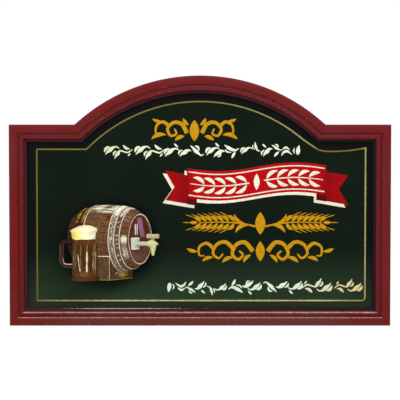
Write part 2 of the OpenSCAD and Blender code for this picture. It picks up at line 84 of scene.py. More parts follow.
# Barrel, cradle, mug and tap, as in the solids
X_BARREL = -144
Z_BARREL = Z_BOTTOM + 140
BARREL_LEN = 109
BELLY_R = 54
END_R = 41
BARREL_TURN = math.radians(26)
FLATTEN = 0.4
BARREL_STAND = 12
STAVE_T = 4
HEAD_INSET = 2.5
HEAD_T = 4
HOOP_FROM = 24.5
REAR_HOOP_FROM = 20
HOOP_W = 10
STUD_HOOP_W = 8
REAR_STUD_HOOP_W = 12.5
HOOP_T = 1.2
STAVE_R = ((BARREL_LEN / 2) ** 2 + (BELLY_R - END_R) ** 2) / (2 * (BELLY_R - END_R))
HEAD_FRONT = BARREL_LEN / 2 - HEAD_INSET
Z_FOOT = Z_BOTTOM + 75.5
CRADLE_TURN = math.radians(22.5)
CRADLE_HALF = 48
CRADLE_FRONT = 21.5
CRADLE_REAR = 44
CRADLE_H = 38.5
X_MUG = X_BARREL - 38.5
MUG_H = 65
MUG_R = 19.5
WAIST_R = 19
FOOT_R = 22.3
FOOT_EDGE = 4
FLARE_H = 7
MUG_STAND = 22.5
MUG_SEAT = 15
FOAM_R = 21.5
FOAM_SIDE = 13.8
FOAM_DOME = 8.2
HANDLE_REACH = 20
HANDLE_H = 45.5
HANDLE_T = 6.4
HANDLE_D = 8
HANDLE_R = 12
HANDLE_STAND = 25
TAP_ACROSS = 17.5
Z_TAP = Z_BARREL - 6.6
FLANGE_W = 19
FLANGE_T = 6
TAP_REACH = 31.5
STEM_R = 3.4
BODY_R = 6.9
BODY_HALF = 8.6
SPOUT_LEN = 18.5
SPOUT_R = 6.4
SPOUT_TIP = 1.7
KEY_RISE = 12
KEY_LEN = 21
KEY_R = 3.9
POST_R = 2.4
TAP_TURN = math.atan(FLATTEN * math.tan(BARREL_TURN))

# Camera, fitted to the outline in a frame of 400 by 400 pixels
FRAME_PX = 400
FOCAL_PX = 925.5
CAMERA_AT = (0, -1500, 234)
CAMERA_PITCH = math.radians(-1.63)


def srgb(red, green, blue):
    """Colour as it is seen, 0 to 255, as a linear RGBA value."""
    shares = [c / 255 for c in (red, green, blue)]
    return tuple(c / 12.92 if c <= 0.04045 else ((c + 0.055) / 1.055) ** 2.4 for c in shares) + (1,)


def smooth(low, high, value):
    """Smooth step from 0 at low to 1 at high."""
    t = np.clip((np.asarray(value, float) - low) / (high - low), 0, 1)
    return t * t * (3 - 2 * t)


def hill(value, start, up, down, end):
    """Smooth hill of height 1: it rises from start to up, and falls from down to end."""
    return smooth(start, up, value) * smooth(end, down, value)


def bump_at(value, middle, width):
    """Smooth hump of height 1."""
    return math.exp(-((value - middle) / width) ** 2)


def turns(count, first=0.0):
    """Angles once round in equal steps, from a share of a turn."""
    return [(i / count + first) * 2 * math.pi for i in range(count)]


def polar(radius, turn):
    return radius * math.cos(turn), radius * math.sin(turn)


def rough(x, y, z):
    """Smooth noise from about -1 to 1."""
    return noise.noise(Vector((x, y, z)))


# Materials


class Nodes:
    """Node tree of a new material or of a world, with a short call for each kind of node it uses."""

    def __init__(self, name, world=None):
        self.owner = world or bpy.data.materials.new(name)
        self.owner.use_nodes = True
        self.tree = self.owner.node_tree

    def put(self, socket, value):
        """Links a socket or sets its value; a colour of three numbers is one as it is seen."""
        if isinstance(value, bpy.types.NodeSocket):
            self.tree.links.new(value, socket)
        elif socket.type == "RGBA" and len(value) == 3:
            socket.default_value = srgb(*value)
        else:
            socket.default_value = value

    def set(self, node, **inputs):
        """Sets inputs of a node that the tree starts with."""
        for key, value in inputs.items():
            self.put(self.tree.nodes[node].inputs[key.replace("_", " ")], value)

    def add(self, kind, inputs, **settings):
        node = self.tree.nodes.new(kind)
        for key, value in settings.items():
            setattr(node, key, value)
        for key, value in inputs.items():
            self.put(node.inputs[key], value)
        return node

    def value(self, name):
        return self.add("ShaderNodeAttribute", {}, attribute_name=name).outputs["Fac"]

    def vector(self, name):
        return self.add("ShaderNodeAttribute", {}, attribute_name=name).outputs["Vector"]

    def place(self):
        """The piece's own coordinates, in millimetres."""
        return self.scaled(self.add("ShaderNodeTexCoord", {}).outputs["Object"], (1 / MM,) * 3)

    def axis(self, vector, name):
        return self.add("ShaderNodeSeparateXYZ", {"Vector": vector}).outputs[name]

    def scaled(self, vector, scale):
        return self.add("ShaderNodeVectorMath", {0: vector, 1: scale}, operation="MULTIPLY").outputs[0]

    def noise(self, vector, scale, detail=4.0, roughness=0.55):
        """Noise of a density, the same along all axes or one for each."""
        if isinstance(scale, tuple):
            vector, scale = self.scaled(vector, scale), 1.0
        inputs = {"Vector": vector, "Scale": scale, "Detail": detail, "Roughness": roughness}
        return self.add("ShaderNodeTexNoise", inputs).outputs["Fac"]

    def math(self, operation, a, b=0.0):
        return self.add("ShaderNodeMath", {0: a, 1: b}, operation=operation).outputs[0]

    def plus(self, a, b):
        return self.math("ADD", a, b)

    def minus(self, a, b):
        return self.math("SUBTRACT", a, b)

    def times(self, a, b):
        return self.math("MULTIPLY", a, b)

    def step(self, value, low, high):
        inputs = {"Value": value, "From Min": low, "From Max": high}
        return self.add("ShaderNodeMapRange", inputs, interpolation_type="SMOOTHSTEP").outputs[0]

    def mix(self, share, a, b):
        return self.add("ShaderNodeMix", {0: share, 6: a, 7: b}, data_type="RGBA").outputs[2]

    def tint(self, color, share, most, tone):
        """A colour mixed with a tone, by a share of the most there is."""
        return self.mix(self.times(share, most), color, tone)

    def speckled(self, value, pattern, edge=0.12):
        """Where a painted value shows when its edge is broken up by a pattern."""
        return self.step(self.plus(value, pattern), 1 - edge, 1 + edge)

    def seen(self):
        """1 where the camera sees the surface itself, its reflection, or it through glass."""
        path = self.add("ShaderNodeLightPath", {}).outputs
        seen = self.math("MAXIMUM", path["Is Camera Ray"], path["Is Glossy Ray"])
        return self.math("MAXIMUM", seen, path["Is Transmission Ray"])

    def finish(self, color, roughness, bump, depth, specular, metallic=0.0):
        """The material, with a bump of a depth in millimetres."""
        inputs = {"Height": bump, "Strength": 1.0, "Distance": depth * MM}
        normal = self.add("ShaderNodeBump", inputs).outputs[0]
        self.set("Principled BSDF", Base_Color=color, Roughness=roughness, Specular_IOR_Level=specular,
                 Metallic=metallic, Normal=normal)
        return self.owner


CREAM = (226, 206, 182)
GOLD = (176, 142, 52)
SILVER = (226, 226, 206)


def frame_paint():
    """Maroon paint along the moulding, black on the sight lip, bare behind.

    Its ridges carry wear and painted highlights, its hollows painted shade, its lip chipping with painted
    glints, and the bottom rail a painted sheen.
    """
    n = Nodes("frame_paint")
    grain = n.vector("grain")
    streak = n.noise(grain, (0.012, 0.7, 0.7), 6.0)
    cloud = n.noise(grain, 0.018, 3.0)
    fleck = n.noise(grain, (0.22, 1.6, 1.6), 5.0)
    side = n.step(n.axis(n.place(), "X"), -HALF_W, HALF_W)
    base = n.mix(side, (106, 21, 18), (108, 23, 31))
    color = n.mix(n.step(cloud, 0.35, 0.65), base, (104, 29, 31))
    color = n.tint(color, n.step(streak, 0.45, 0.75), 0.4, (92, 24, 26))
    # Painted shade in the quirk and on the bead
    color = n.tint(color, n.value("low"), 0.45, (60, 14, 15))
    # Painted sheen on the bottom rail: greyer and lighter, fading towards its ends
    color = n.tint(color, n.value("bottom_rail_sheen"), 0.34, (86, 68, 60))
    # Pale pink on ridges and arrises: wear, and painted highlights where they face the light
    color = n.mix(n.speckled(n.value("high"), fleck, 0.3), color, (212, 164, 154))
    # Sight lip: black, lighter at the left as a painted highlight on its inner face, dark maroon at the top
    lip = n.speckled(n.value("line"), n.times(fleck, 0.6))
    raised = n.step(n.axis(n.place(), "Z"), Z_SHOULDER - 30, Z_SHOULDER)
    black = n.mix(side, (62, 31, 36), (32, 20, 22))
    color = n.mix(lip, color, n.mix(raised, black, (66, 27, 34)))
    # Pale chipping along the lip, with painted glints
    chips_and_glints = n.speckled(n.value("spot"), n.times(fleck, 0.9), 0.05)
    color = n.mix(chips_and_glints, color, (178, 168, 160))
    rings = n.noise(grain, (0.01, 0.5, 0.35), 7.0)
    bare = n.mix(n.step(rings, 0.3, 0.7), (188, 150, 104), (150, 110, 70))
    color = n.mix(n.speckled(n.value("bare"), n.times(cloud, 0.6)), color, bare)
    gloss = n.plus(n.times(streak, 0.25), 0.26)
    bump = n.plus(streak, n.times(fleck, 0.3))
    return n.finish(color, gloss, bump, 0.12, specular=0.07)


def inset_from_edge(n, place):
    """Distance of a place on the board from the sign's outer edge."""
    x = n.axis(place, "X")
    z = n.axis(place, "Z")
    side = n.minus(HALF_W, n.math("ABSOLUTE", x))
    below = n.minus(z, Z_BOTTOM)
    above = n.minus(Z_SHOULDER, z)
    height = n.minus(z, Z_ARCH)
    squares = n.plus(n.times(x, x), n.times(height, height))
    arch = n.minus(ARCH_R, n.math("SQRT", squares))
    straight = n.math("MINIMUM", side, above)
    return n.math("MINIMUM", n.math("MAXIMUM", straight, arch), n.math("MINIMUM", below, side))


HALO_HALF_W = 84
HALO_HALF_H = 70


def panel_paint():
    """Green field, black border and a soft dark ground round the relief; bare board behind."""
    n = Nodes("panel_paint")
    place = n.place()
    brush = n.noise(place, (0.03, 0.2, 0.5), 5.0)
    cloud = n.noise(place, 0.012, 3.0)
    # Green and black lighter towards the bottom: a painted reflection
    height = n.step(n.axis(place, "Z"), 10, 125)
    green = n.mix(height, (42, 60, 42), (13, 23, 14))
    green = n.tint(green, n.step(cloud, 0.4, 0.7), 0.35, (20, 31, 22))
    black = n.mix(height, (38, 45, 37), (13, 14, 15))
    border = n.step(inset_from_edge(n, place), STRIPE_IN + 1, STRIPE_IN - 1)
    color = n.mix(border, green, black)
    middle = (X_BARREL - 4, 0, Z_BARREL - 8)
    off = n.add("ShaderNodeVectorMath", {0: place, 1: middle}, operation="SUBTRACT").outputs[0]
    round_off = n.scaled(off, (1 / HALO_HALF_W, 0, 1 / HALO_HALF_H))
    reach = n.add("ShaderNodeVectorMath", {0: round_off}, operation="LENGTH").outputs["Value"]
    halo = n.step(n.plus(reach, n.times(cloud, 0.3)), 1.38, 0.95)
    color = n.tint(color, halo, 0.85, (12, 15, 14))
    dust = n.step(n.noise(place, 0.55, 2.0), 0.79, 0.84)
    color = n.tint(color, dust, 0.5, (96, 104, 92))
    fibre = n.noise(place, (0.05, 0.3, 0.9), 6.0)
    back = n.mix(n.step(fibre, 0.3, 0.7), (150, 112, 74), (118, 84, 54))
    behind = n.step(n.axis(place, "Y"), 0.3 - BOARD_V, 0.8 - BOARD_V)
    color = n.mix(behind, color, back)
    gloss = n.plus(n.times(cloud, 0.2), 0.34)
    return n.finish(color, gloss, brush, 0.06, specular=0.03)


def brushed_paint(name, base, shade, drybrush_and_highlight, line=CREAM, spot=GOLD, fleck=None, **look):
    """Glaze in two tones, darker in the hollows, flecked, drybrushed on ridges, with painted lines.

    base and shade are the two tones, and the drybrush colour, line, spot and fleck the colours laid
    over them. The darker hollows are glaze and painted shade, and the drybrush colour, the lines and
    the spots carry painted highlights, glints and a painted reflection as well as paint. look holds
    streak and dash, the density of the two patterns along the grain and across it, gloss, and soft,
    the softness of the spots' edges.
    """
    n = Nodes(name)
    grain = n.vector("grain")
    dash = look.get("dash", (0.35, 1.1, 1.1))
    streaks = n.noise(grain, look.get("streak", (0.05, 0.9, 0.9)), 6.0)
    dashes = n.noise(grain, dash, 5.0, 0.65)
    flecks = n.noise(n.scaled(grain, [1.7 * d for d in dash]), 1.3, 3.0)
    hollow = [c * 0.35 for c in srgb(*shade)[:3]] + [1]
    color = n.mix(n.step(streaks, 0.34, 0.66), shade, base)
    color = n.tint(color, n.step(flecks, 0.5, 0.66), 0.7, fleck or base)
    # Darker where low: glaze in joints and grain, painted shade in hollows, creases and on turned-away sides
    color = n.tint(color, n.value("low"), 0.85, hollow)
    # Spots of colour, some of them painted glints and a painted reflection
    spots = n.speckled(n.value("spot"), n.times(dashes, 0.9), look.get("soft", 0.2))
    color = n.mix(spots, color, spot)
    # Drybrush on the ridges, which also lays on the painted highlights
    color = n.mix(n.speckled(n.value("high"), dashes, 0.18), color, drybrush_and_highlight)
    # Painted lines, some of them painted highlights and a painted reflection
    color = n.mix(n.speckled(n.value("line"), n.times(dashes, 0.8), 0.15), color, line)
    roughness = n.plus(n.times(dashes, 0.2), look.get("gloss", 0.4) - 0.1)
    bump = n.plus(streaks, n.times(dashes, 0.5))
    return n.finish(color, roughness, bump, 0.25, specular=0.07)


def brush_stroke_paint(name, light, dark, warm=None, spread=0.12):
    """Sign painter's enamel: one colour that thins and thickens under the brush, tinted where warm."""
    n = Nodes(name)
    place = n.place()
    thin = n.noise(place, (0.16, 0.16, 0.22), 4.0)
    bristle = n.noise(place, (0.3, 0.5, 1.6), 4.0)
    tone = n.plus(n.times(thin, 0.7), n.times(bristle, 0.3))
    color = n.mix(n.step(tone, 0.5 - spread, 0.5 + spread), dark, light)
    color = n.mix(n.value("warm"), color, warm or dark)
    return n.finish(color, 0.4, bristle, 0.08, specular=0.06)


def metal(name, color, dull, gloss):
    """Plated metal with fine rolling marks and dull patches."""
    n = Nodes(name)
    place = n.place()
    patch = n.noise(place, 0.25, 4.0)
    marks = n.noise(place, (2.5, 2.5, 0.3), 4.0)
    tone = n.mix(n.step(patch, 0.45, 0.7), color, dull)
    roughness = n.plus(n.times(marks, 0.2), gloss)
    return n.finish(tone, roughness, marks, 0.03, specular=0.5, metallic=1.0)


# Meshes


class Shape:
    """Points, faces and painted values of one piece, in millimetres."""

    def __init__(self):
        self.points = []
        self.faces = []
        self.values = {}

    def loft(self, rings, loop=False, caps=True, **values):
        """Skin over closed rings of points, in order; loop joins the last ring to the first."""
        rings = np.asarray(rings, float)
        count, around = rings.shape[:2]
        start = len(self.points)
        index = start + np.arange(count * around).reshape(count, around)
        for i in range(count if loop else count - 1):
            a = index[i].tolist()
            b = index[(i + 1) % count].tolist()
            self.faces += [(a[j - 1], a[j], b[j], b[j - 1]) for j in range(around)]
        if caps and not loop:
            self.faces += [tuple(index[0].tolist()), tuple(index[-1].tolist())]
        self.points += rings.reshape(-1, 3).tolist()
        for key, value in values.items():
            size = (count, around, 3) if key == "grain" else (count, around)
            column = self.values.setdefault(key, {})
            column[start] = np.broadcast_to(np.asarray(value, float), size).reshape(count * around, -1)
        return self

    def piece(self, name, material, slot, replaces=(), cut=None, sharp=35):
        """Makes the object. cut is the depth in front of the back at which it is cut flat."""
        mesh = bpy.data.meshes.new(name)
        mesh.from_pydata([Vector(p) * MM for p in self.points], [], self.faces)
        for key, column in self.values.items():
            wide = 3 if key == "grain" else 1
            data = np.zeros((len(self.points), wide), np.float32)
            for start, part in column.items():
                data[start:start + len(part)] = part
            kind = "FLOAT_VECTOR" if wide == 3 else "FLOAT"
            layer = mesh.attributes.new(key, kind, "POINT")
            layer.data.foreach_set("vector" if wide == 3 else "value", data.ravel())
        bm = bmesh.new()
        bm.from_mesh(mesh)
        if cut is not None:
            everything = bm.verts[:] + bm.edges[:] + bm.faces[:]
            bmesh.ops.bisect_plane(
                bm, geom=everything, plane_co=(0, -cut * MM, 0), plane_no=(0, 1, 0), clear_outer=True
            )
            bmesh.ops.holes_fill(bm, edges=[e for e in bm.edges if e.is_boundary])
        bmesh.ops.recalc_face_normals(bm, faces=bm.faces)
        bm.to_mesh(mesh)
        bm.free()
        mesh.polygons.foreach_set("use_smooth", [True] * len(mesh.polygons))
        mesh.set_sharp_from_angle(angle=math.radians(sharp))
        mesh.materials.append(material)
        obj = bpy.data.objects.new(name, mesh)
        scene.collection.objects.link(obj)
        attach(obj, "sign")
        if replaces:
            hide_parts(*replaces)
        return obj


PAINTED = ("low", "high", "line", "spot")


class Skin:
    """Rings of points, gathered point by point, each with its grain and its painted values."""

    def __init__(self):
        self.shape = Shape()
        self.start()

    def start(self):
        self.rings = []
        self.values = {name: [] for name in ("grain", *PAINTED)}

    def ring(self):
        self.rings.append([])
        for rows in self.values.values():
            rows.append([])

    def point(self, place, grain, **painted):
        self.rings[-1].append(place)
        self.values["grain"][-1].append(grain)
        for name in PAINTED:
            self.values[name][-1].append(float(painted.get(name, 0)))

    def next_part(self, loop=False):
        """Skins the rings so far; those that follow are a part of their own."""
        self.shape.loft(self.rings, loop, **self.values)
        self.start()

    def piece(self, name, material, slot, node, loop=False, **settings):
        self.next_part(loop)
        return self.shape.piece(name, material, slot, (node,), **settings)


# Frame


MOULDING_VALUES = ("low", "high", "line", "spot", "bare")
EDGE_EASE = 0.8
# Places across the band, and how much wear and painted highlight it has there
BAND_WEAR_AND_SHEEN = ((0.25, 0.35), (1, 0.4), (2.2, 0.2), (4, 0.08), (7, 0.05), (10, 0.08), (12, 0.22))


def moulding_outline():
    """Section of the moulding as rows of u, v and the painted values, round from the back."""
    rows = []

    def row(u, v, **painted):
        rows.append((u, v, *(painted.get(name, 0) for name in MOULDING_VALUES)))

    row(EDGE_EASE, 0, bare=1)
    row(0, EDGE_EASE, bare=0.35)
    row(0, 9, high=0.1)
    row(0, RAIL_D - 3, high=0.1)
    crown_r = ((BAND_W / 2) ** 2 + BAND_CROWN ** 2) / (2 * BAND_CROWN)
    for u, wear in BAND_WEAR_AND_SHEEN:
        drop = 1.2 * max(0, 1 - u) + 0.2 * max(0, 2.2 - u)
        row(u, RAIL_D - crown_r + math.sqrt(crown_r ** 2 - (u - BAND_W / 2) ** 2) - drop, high=wear)
    # Inner edge of the band, quirk and bead: high is wear and a painted highlight, low painted shade
    row(13.3, RAIL_D - 0.9, high=0.5)
    row(BAND_W, RAIL_D - 1.6, low=0.2, high=0.4)
    row(BAND_W + 0.2, RAIL_D - QUIRK_D, low=0.8)
    row(BAND_W + QUIRK_W - 0.1, RAIL_D - QUIRK_D, low=0.8)
    for turn in range(135, -1, -15):
        u, v = polar(BEAD_R, math.radians(turn))
        low = 0.45 + 0.35 * smooth(100, 135, turn)
        high = 0.6 * bump_at(turn, 66, 20)
        row(BEAD_U + u, BEAD_V + v, low=low, high=high, line=smooth(50, 25, turn) * 0.7)
    lip_v = BOARD_V + LIP_H
    row(BEAD_U + BEAD_R, lip_v + 0.5, line=1)
    row(BEAD_U + BEAD_R + 0.6, lip_v, line=1)
    # Chipping and painted glints along the lip's arris
    row(RAIL_W - 0.7, lip_v, line=1, spot=0.45)
    row(RAIL_W, lip_v - 0.7, line=1, spot=0.4)
    row(RAIL_W, BOARD_V, line=1)
    row(BACK_W, BOARD_V, bare=1)
    row(BACK_W, 0, bare=1)
    return np.array(rows)


def spring_x(u):
    """Half the distance between the springings at a distance in from the outer edge."""
    return math.sqrt((ARCH_R - u) ** 2 - (Z_SHOULDER - u - Z_ARCH) ** 2)


def on_bottom(u, t):
    return (u - HALF_W) * (1 - 2 * t), Z_BOTTOM + u


def on_stile(side):
    return lambda u, t: (side * (HALF_W - u), Z_BOTTOM + u + t * (Z_SHOULDER - Z_BOTTOM - 2 * u))


def on_shoulder(side):
    def place(u, t):
        outer = HALF_W - u
        return side * (outer + t * (spring_x(u) - outer)), Z_SHOULDER - u
    return place


def on_arch(u, t):
    radius = ARCH_R - u
    turn = math.asin(spring_x(u) / radius) * (2 * t - 1)
    return radius * math.sin(turn), Z_ARCH + radius * math.cos(turn)


RAIL_STEP = 6
GRAIN_APART = 900
NICK_LEAST = 0.38


def rail(node, place, length, seed, wear_and_light=0.35):
    """One rail: the moulding along its place, a little uneven, with nicks along its edges.

    The last argument sets the strength of its wear, painted highlights, painted shade and lip chipping,
    and at full strength gives the bottom rail its painted sheen.
    """
    outline = moulding_outline()
    stations = max(12, round(length / RAIL_STEP))
    rings = []
    grains = []
    highs = []
    for i in range(stations + 1):
        t = i / stations
        along = t * length
        rings.append([])
        highs.append([])
        grains.append([(along + GRAIN_APART * seed, u, v) for u, v in outline[:, :2]])
        for u, v, _, wear, _, _, bare in outline:
            x, z = place(u, t)
            front = v > BOARD_V and not bare
            uneven = 0.18 * rough(along * 0.02, u * 0.3, seed) if front else 0
            nick = max(0, rough(along * 0.09, u * 0.15, seed + 40) - NICK_LEAST) * 2.4 * (wear > 0.3)
            rings[-1].append((x, -(v + uneven - nick), z))
            highs[-1].append(wear_and_light * (wear + 0.5 * nick))
    # high: wear and painted highlights; low: painted shade; spot: lip chipping and painted glints
    ts = np.linspace(0, 1, stations + 1)[:, None]
    values = dict(low=outline[:, 2] * (0.78 + 0.22 * wear_and_light), line=outline[:, 4], bare=outline[:, 6])
    chipping_and_glints = wear_and_light * outline[:, 5] * (0.8 + 0.7 * smooth(0.6, 0.3, ts))
    values["spot"] = chipping_and_glints * (0.4 + 0.6 * smooth(0.02, 0.2, ts))
    # Painted sheen on the bottom rail, fading towards its ends
    values["bottom_rail_sheen"] = smooth(0.5, 1, wear_and_light) * smooth(0.02, 0.2, np.minimum(ts, 1 - ts))
    shape = Shape().loft(rings, grain=grains, high=highs, **values)
    return shape.piece(node + "_wood", FRAME_PAINT, "frame_paint", (node,), sharp=40)


def add_frame():
    width = 2 * HALF_W
    height = Z_SHOULDER - Z_BOTTOM
    shoulder = HALF_W - HALF_CHORD
    arch = 2 * ARCH_R * math.asin(HALF_CHORD / ARCH_R)
    rail("bottom_rail", on_bottom, width, 1, 1)
    rail("arch_rail", on_arch, arch, 2, 0.45)
    for side, name, seed in ((-1, "left", 3), (1, "right", 5)):
        rail(name + "_stile", on_stile(side), height, seed)
        rail(name + "_shoulder_rail", on_shoulder(side), shoulder, seed + 1)


# Painted ornament on the board

PAINT_H = 0.28
STRIPE_IN = 39.2
STRIPE_LEFT_IN = 43
STRIPE_W = 2.3


def curve_through(points, steps=8):
    """Smooth line through points, by cubic pieces that share their slopes."""
    p = np.array([points[0], *points, points[-1]], float)
    line = []
    for a, b, c, d in zip(p, p[1:], p[2:], p[3:]):
        for i in range(steps):
            t = i / steps
            line.append(0.5 * (2 * b + (c - a) * t + (2 * a - 5 * b + 4 * c - d) * t ** 2
                               + (3 * b - a - 3 * c + d) * t ** 3))
    return np.array(line + [p[-1]])


DOME = ((-1, 0.1), (-0.8, 0.62), (-0.4, 0.95), (0, 1), (0.4, 0.95), (0.8, 0.62), (1, 0.1))


def painted_ring(x, z, side_x, side_z, lift=PAINT_H):
    """Section of a brush stroke on the board, domed; side is half of its width."""
    ring = [(x + side_x * s, -BOARD_V - lift * h, z + side_z * s) for s, h in DOME]
    return ring + [(x + side_x * s, 0.02 - BOARD_V, z + side_z * s) for s in (1, -1)]


def directions(line):
    """Unit vectors along a line of points (x, z)."""
    run = np.gradient(line, axis=0)
    return run / np.maximum(np.linalg.norm(run, axis=1, keepdims=True), 1e-9)


def stroke(shape, line, widths, warm=0.0, lift=PAINT_H):
    """Brush stroke on the board along a line of (x, z), of the given widths."""
    line = np.asarray(line, float)
    run = directions(line)
    widths = np.broadcast_to(np.asarray(widths, float), len(line))
    sides = np.stack([-run[:, 1], run[:, 0]], 1) * widths[:, None] / 2
    return shape.loft([painted_ring(*at, *side, lift) for at, side in zip(line, sides)], warm=warm)


class Spot:
    """A spot of the board: turns local marks (x, z) about it, scaled and mirrored."""

    def __init__(self, x, z, turn=0, size=1, flip=1, warm=0.0):
        self.origin = np.array((x, z))
        self.cos, self.sin = math.cos(math.radians(turn)), math.sin(math.radians(turn))
        self.size, self.flip, self.warm = size, flip, warm

    def __call__(self, x, z):
        x, z = self.flip * self.size * x, self.size * z
        return self.origin + (x * self.cos - z * self.sin, x * self.sin + z * self.cos)


def brush(shape, at, marks):
    """Brush stroke through marks (x, z, width) at a spot."""
    line = curve_through([(*at(x, z), w * at.size) for x, z, w in marks])
    return stroke(shape, line[:, :2], np.maximum(line[:, 2], 0.3), warm=at.warm)


def leaf(shape, base, tip, width, bend=0.0, lift=PAINT_H):
    """Pointed leaf from base to tip, bent sideways."""
    base, tip = np.array(base, float), np.array(tip, float)
    across = np.array((base[1] - tip[1], tip[0] - base[0]))
    t = np.linspace(0, 1, 15)
    line = base + np.outer(t, tip - base) + np.outer(4 * t * (1 - t) * bend, across)
    return stroke(shape, line, 0.35 + width * np.sin(np.pi * t) ** 0.85, lift=lift)


def stem(shape, at, points, thick, thin):
    """Tapering stem through points at a spot."""
    line = curve_through([at(*point) for point in points])
    return stroke(shape, line, np.linspace(thick, thin, len(line)))


def lozenge(shape, x, z, half, width, lift=PAINT_H):
    """Leaf on end, the same above and below its middle."""
    return leaf(shape, (x, z - half), (x, z + half), width, lift=lift)


# Motifs of the vine, each one's strokes as marks (x, z, width) about its middle.
# Split leaf with its tip down, and a stem that arcs away from it
SPRIG = (
    ((-8.4, -3.7, 1), (-6.9, 0.8, 3.9), (-4.3, 3.7, 4.2), (-0.2, 5.1, 1.6)),
    ((-6.9, -7.4, 0.6), (-3.7, -3.5, 3.4), (0.8, 0.3, 6.6), (4.8, 3.5, 4.6), (8.8, 5.1, 2.5),
     (12.5, 4.5, 2), (15.7, 1.9, 0.8)),
)
# Split leaf with a long waved stem, a leaf over the stem and a bud under it
LONG_SPRIG = (
    ((-6.7, -3.7, 1), (-6, 0.8, 3.2), (-2.6, 3.9, 1.3)),
    ((-5.1, -8.5, 0.6), (-2.9, -4, 3.2), (0.4, 0, 5.6), (2.4, 3.2, 3.6), (5.6, 4.2, 2.2),
     (10.4, 2.6, 2.3), (15.3, 1.4, 2.3), (19.3, 3.1, 2), (23.8, 6.7, 0.8)),
    ((8.4, 13.3, 0.7), (11, 10.4, 3.6), (14.4, 7.8, 4), (19.3, 6.9, 0.7)),
    ((20.1, 0.5, 0.6), (18.6, -1.8, 2.6), (16.4, -4.3, 0.9)),
)
# Split leaf without a stem, its other half above it or below it
HALF_LEAF = ((-7.6, -6.3, 0.6), (-4, -2.4, 3.8), (1.1, 0.6, 6.8), (5.6, 3.4, 4.2), (10.8, 2.6, 0.9))
LEAF_PAIR = (HALF_LEAF, ((-9.6, -3.4, 1), (-8.2, 1.1, 3), (-3.2, 4.1, 1)))
LOW_PAIR = (HALF_LEAF, ((-2.1, -5.8, 0.8), (2.1, -4.9, 2.4), (4.6, -1.3, 0.9)))
# Leaf with its tip up and its stem curled below, and a crescent over it
HANGING_SPRIG = (
    ((-8.5, 7.6, 0.7), (-4.3, 3.7, 3.4), (0, -1.1, 5.8), (3.7, -4.3, 4), (6.9, -7.2, 2.4),
     (9.6, -8.2, 2.2), (13.3, -6.3, 0.9)),
    ((-1.3, 6.9, 0.9), (3, 5.6, 3.2), (5, 2, 2.6), (4.6, -1.6, 0.8)),
)
# Leaf with its tip up, its stem swept up again, and a crescent under it
SWEPT_SPRIG = (
    ((-10.9, 7.2, 0.7), (-4, 2.4, 5.2), (3.2, -1.1, 4.4), (8, -1.1, 2.6), (12.5, 1.9, 1)),
    ((-9.6, 0.2, 0.8), (-6.4, -3.9, 2.6), (0.5, -5.1, 0.9)),
)
LONE_LEAF = (((-4, 3.8, 0.8), (-1.4, 1.8, 3.4), (1.6, -1.2, 3.4), (4, -3.8, 0.8)),)
# Two bent strokes, one over the other
CHEVRONS = (
    ((-6.6, 2.4, 0.7), (-1.1, 5.4, 3.7), (5.3, 1.6, 0.7)),
    ((-8.5, -7.7, 0.9), (-4.7, -2.2, 3.6), (0, -0.5, 4), (3.7, -2.2, 2.8), (8.7, -6.1, 0.8)),
)
# Leaf on end with a crescent beside it
UPRIGHT_LEAF = (
    ((-3.9, 4, 0.7), (-5.9, -0.5, 2.4), (-4, -5.5, 0.8)),
    ((3, 8, 0.8), (2, 3.4, 4.8), (1.4, -0.8, 6.8), (1, -5, 4.8), (0.9, -7.3, 1.4)),
)

# Motif, place from the vine's middle, turn and size
VINE = (
    (SPRIG, -148, 3, 0, 1), (LONG_SPRIG, -135, -2.5, 0, 1),
    (SPRIG, -99, 3, 0, 1.04), (LONG_SPRIG, -85, -3, 0, 1.08),
    (SPRIG, -52, 0, 0, 1), (LONE_LEAF, -41.5, 10, 0, 0.8),
    (LEAF_PAIR, -28, -1, 0, 1), (HANGING_SPRIG, -10, 2.5, 0, 1),
    (SPRIG, 14, 1.5, 0, 0.95), (LONE_LEAF, 24.5, 11, 0, 0.8), (LOW_PAIR, 26.5, -2, 0, 1),
    (SWEPT_SPRIG, 47, 4, 0, 1), (LONE_LEAF, 51, -5, 105, 1.1),
    (SPRIG, 69, 2.5, 0, 0.82), (SWEPT_SPRIG, 87, 6.5, -45, 0.72),
    (LONE_LEAF, 100, 9.5, 5, 0.75), (LEAF_PAIR, 104, 0, 14, 0.95),
    (HANGING_SPRIG, 119, 7, 12, 0.72), (LONE_LEAF, 120, -3.5, 90, 1),
    (CHEVRONS, 136, 1.5, 0, 1), (UPRIGHT_LEAF, 153, 2.5, 0, 1),
)
TOP_VINE_AT = (3, 269)
BOTTOM_VINE_AT = (105, 53.5)


def add_vine(name, middle, way, warmth):
    """The vine about a place; way -1 turns it end for end. Its first leaves have a warmer tint."""
    shape = Shape()
    x, z = middle
    for motif, along, up, turn, size in VINE:
        warm = warmth * smooth(-30, -160, along)
        spot = Spot(x + way * along, z + way * up, turn + 90 * (1 - way), size, warm=warm)
        for marks in motif:
            brush(shape, spot, marks)
    return shape.piece(name, LEAF_PAINT, "panel_paint")


STRIPE_ARCH_IN = 40.6
STRIPE_RISE = 2
STRIPE_BEND = 5
STRIPE_STEP = 9
# The right shoulder of the pinstripe sags: places and heights against the left shoulder
STRIPE_SAG = ((183.5, 3.3), (190, -0.9), (197, -2.7), (208, -3.5), (226, -3.1), (241, -1.9))
STRIPE_ARCH_END = 0.884
STRIPE_ARCH_POINTS = 39


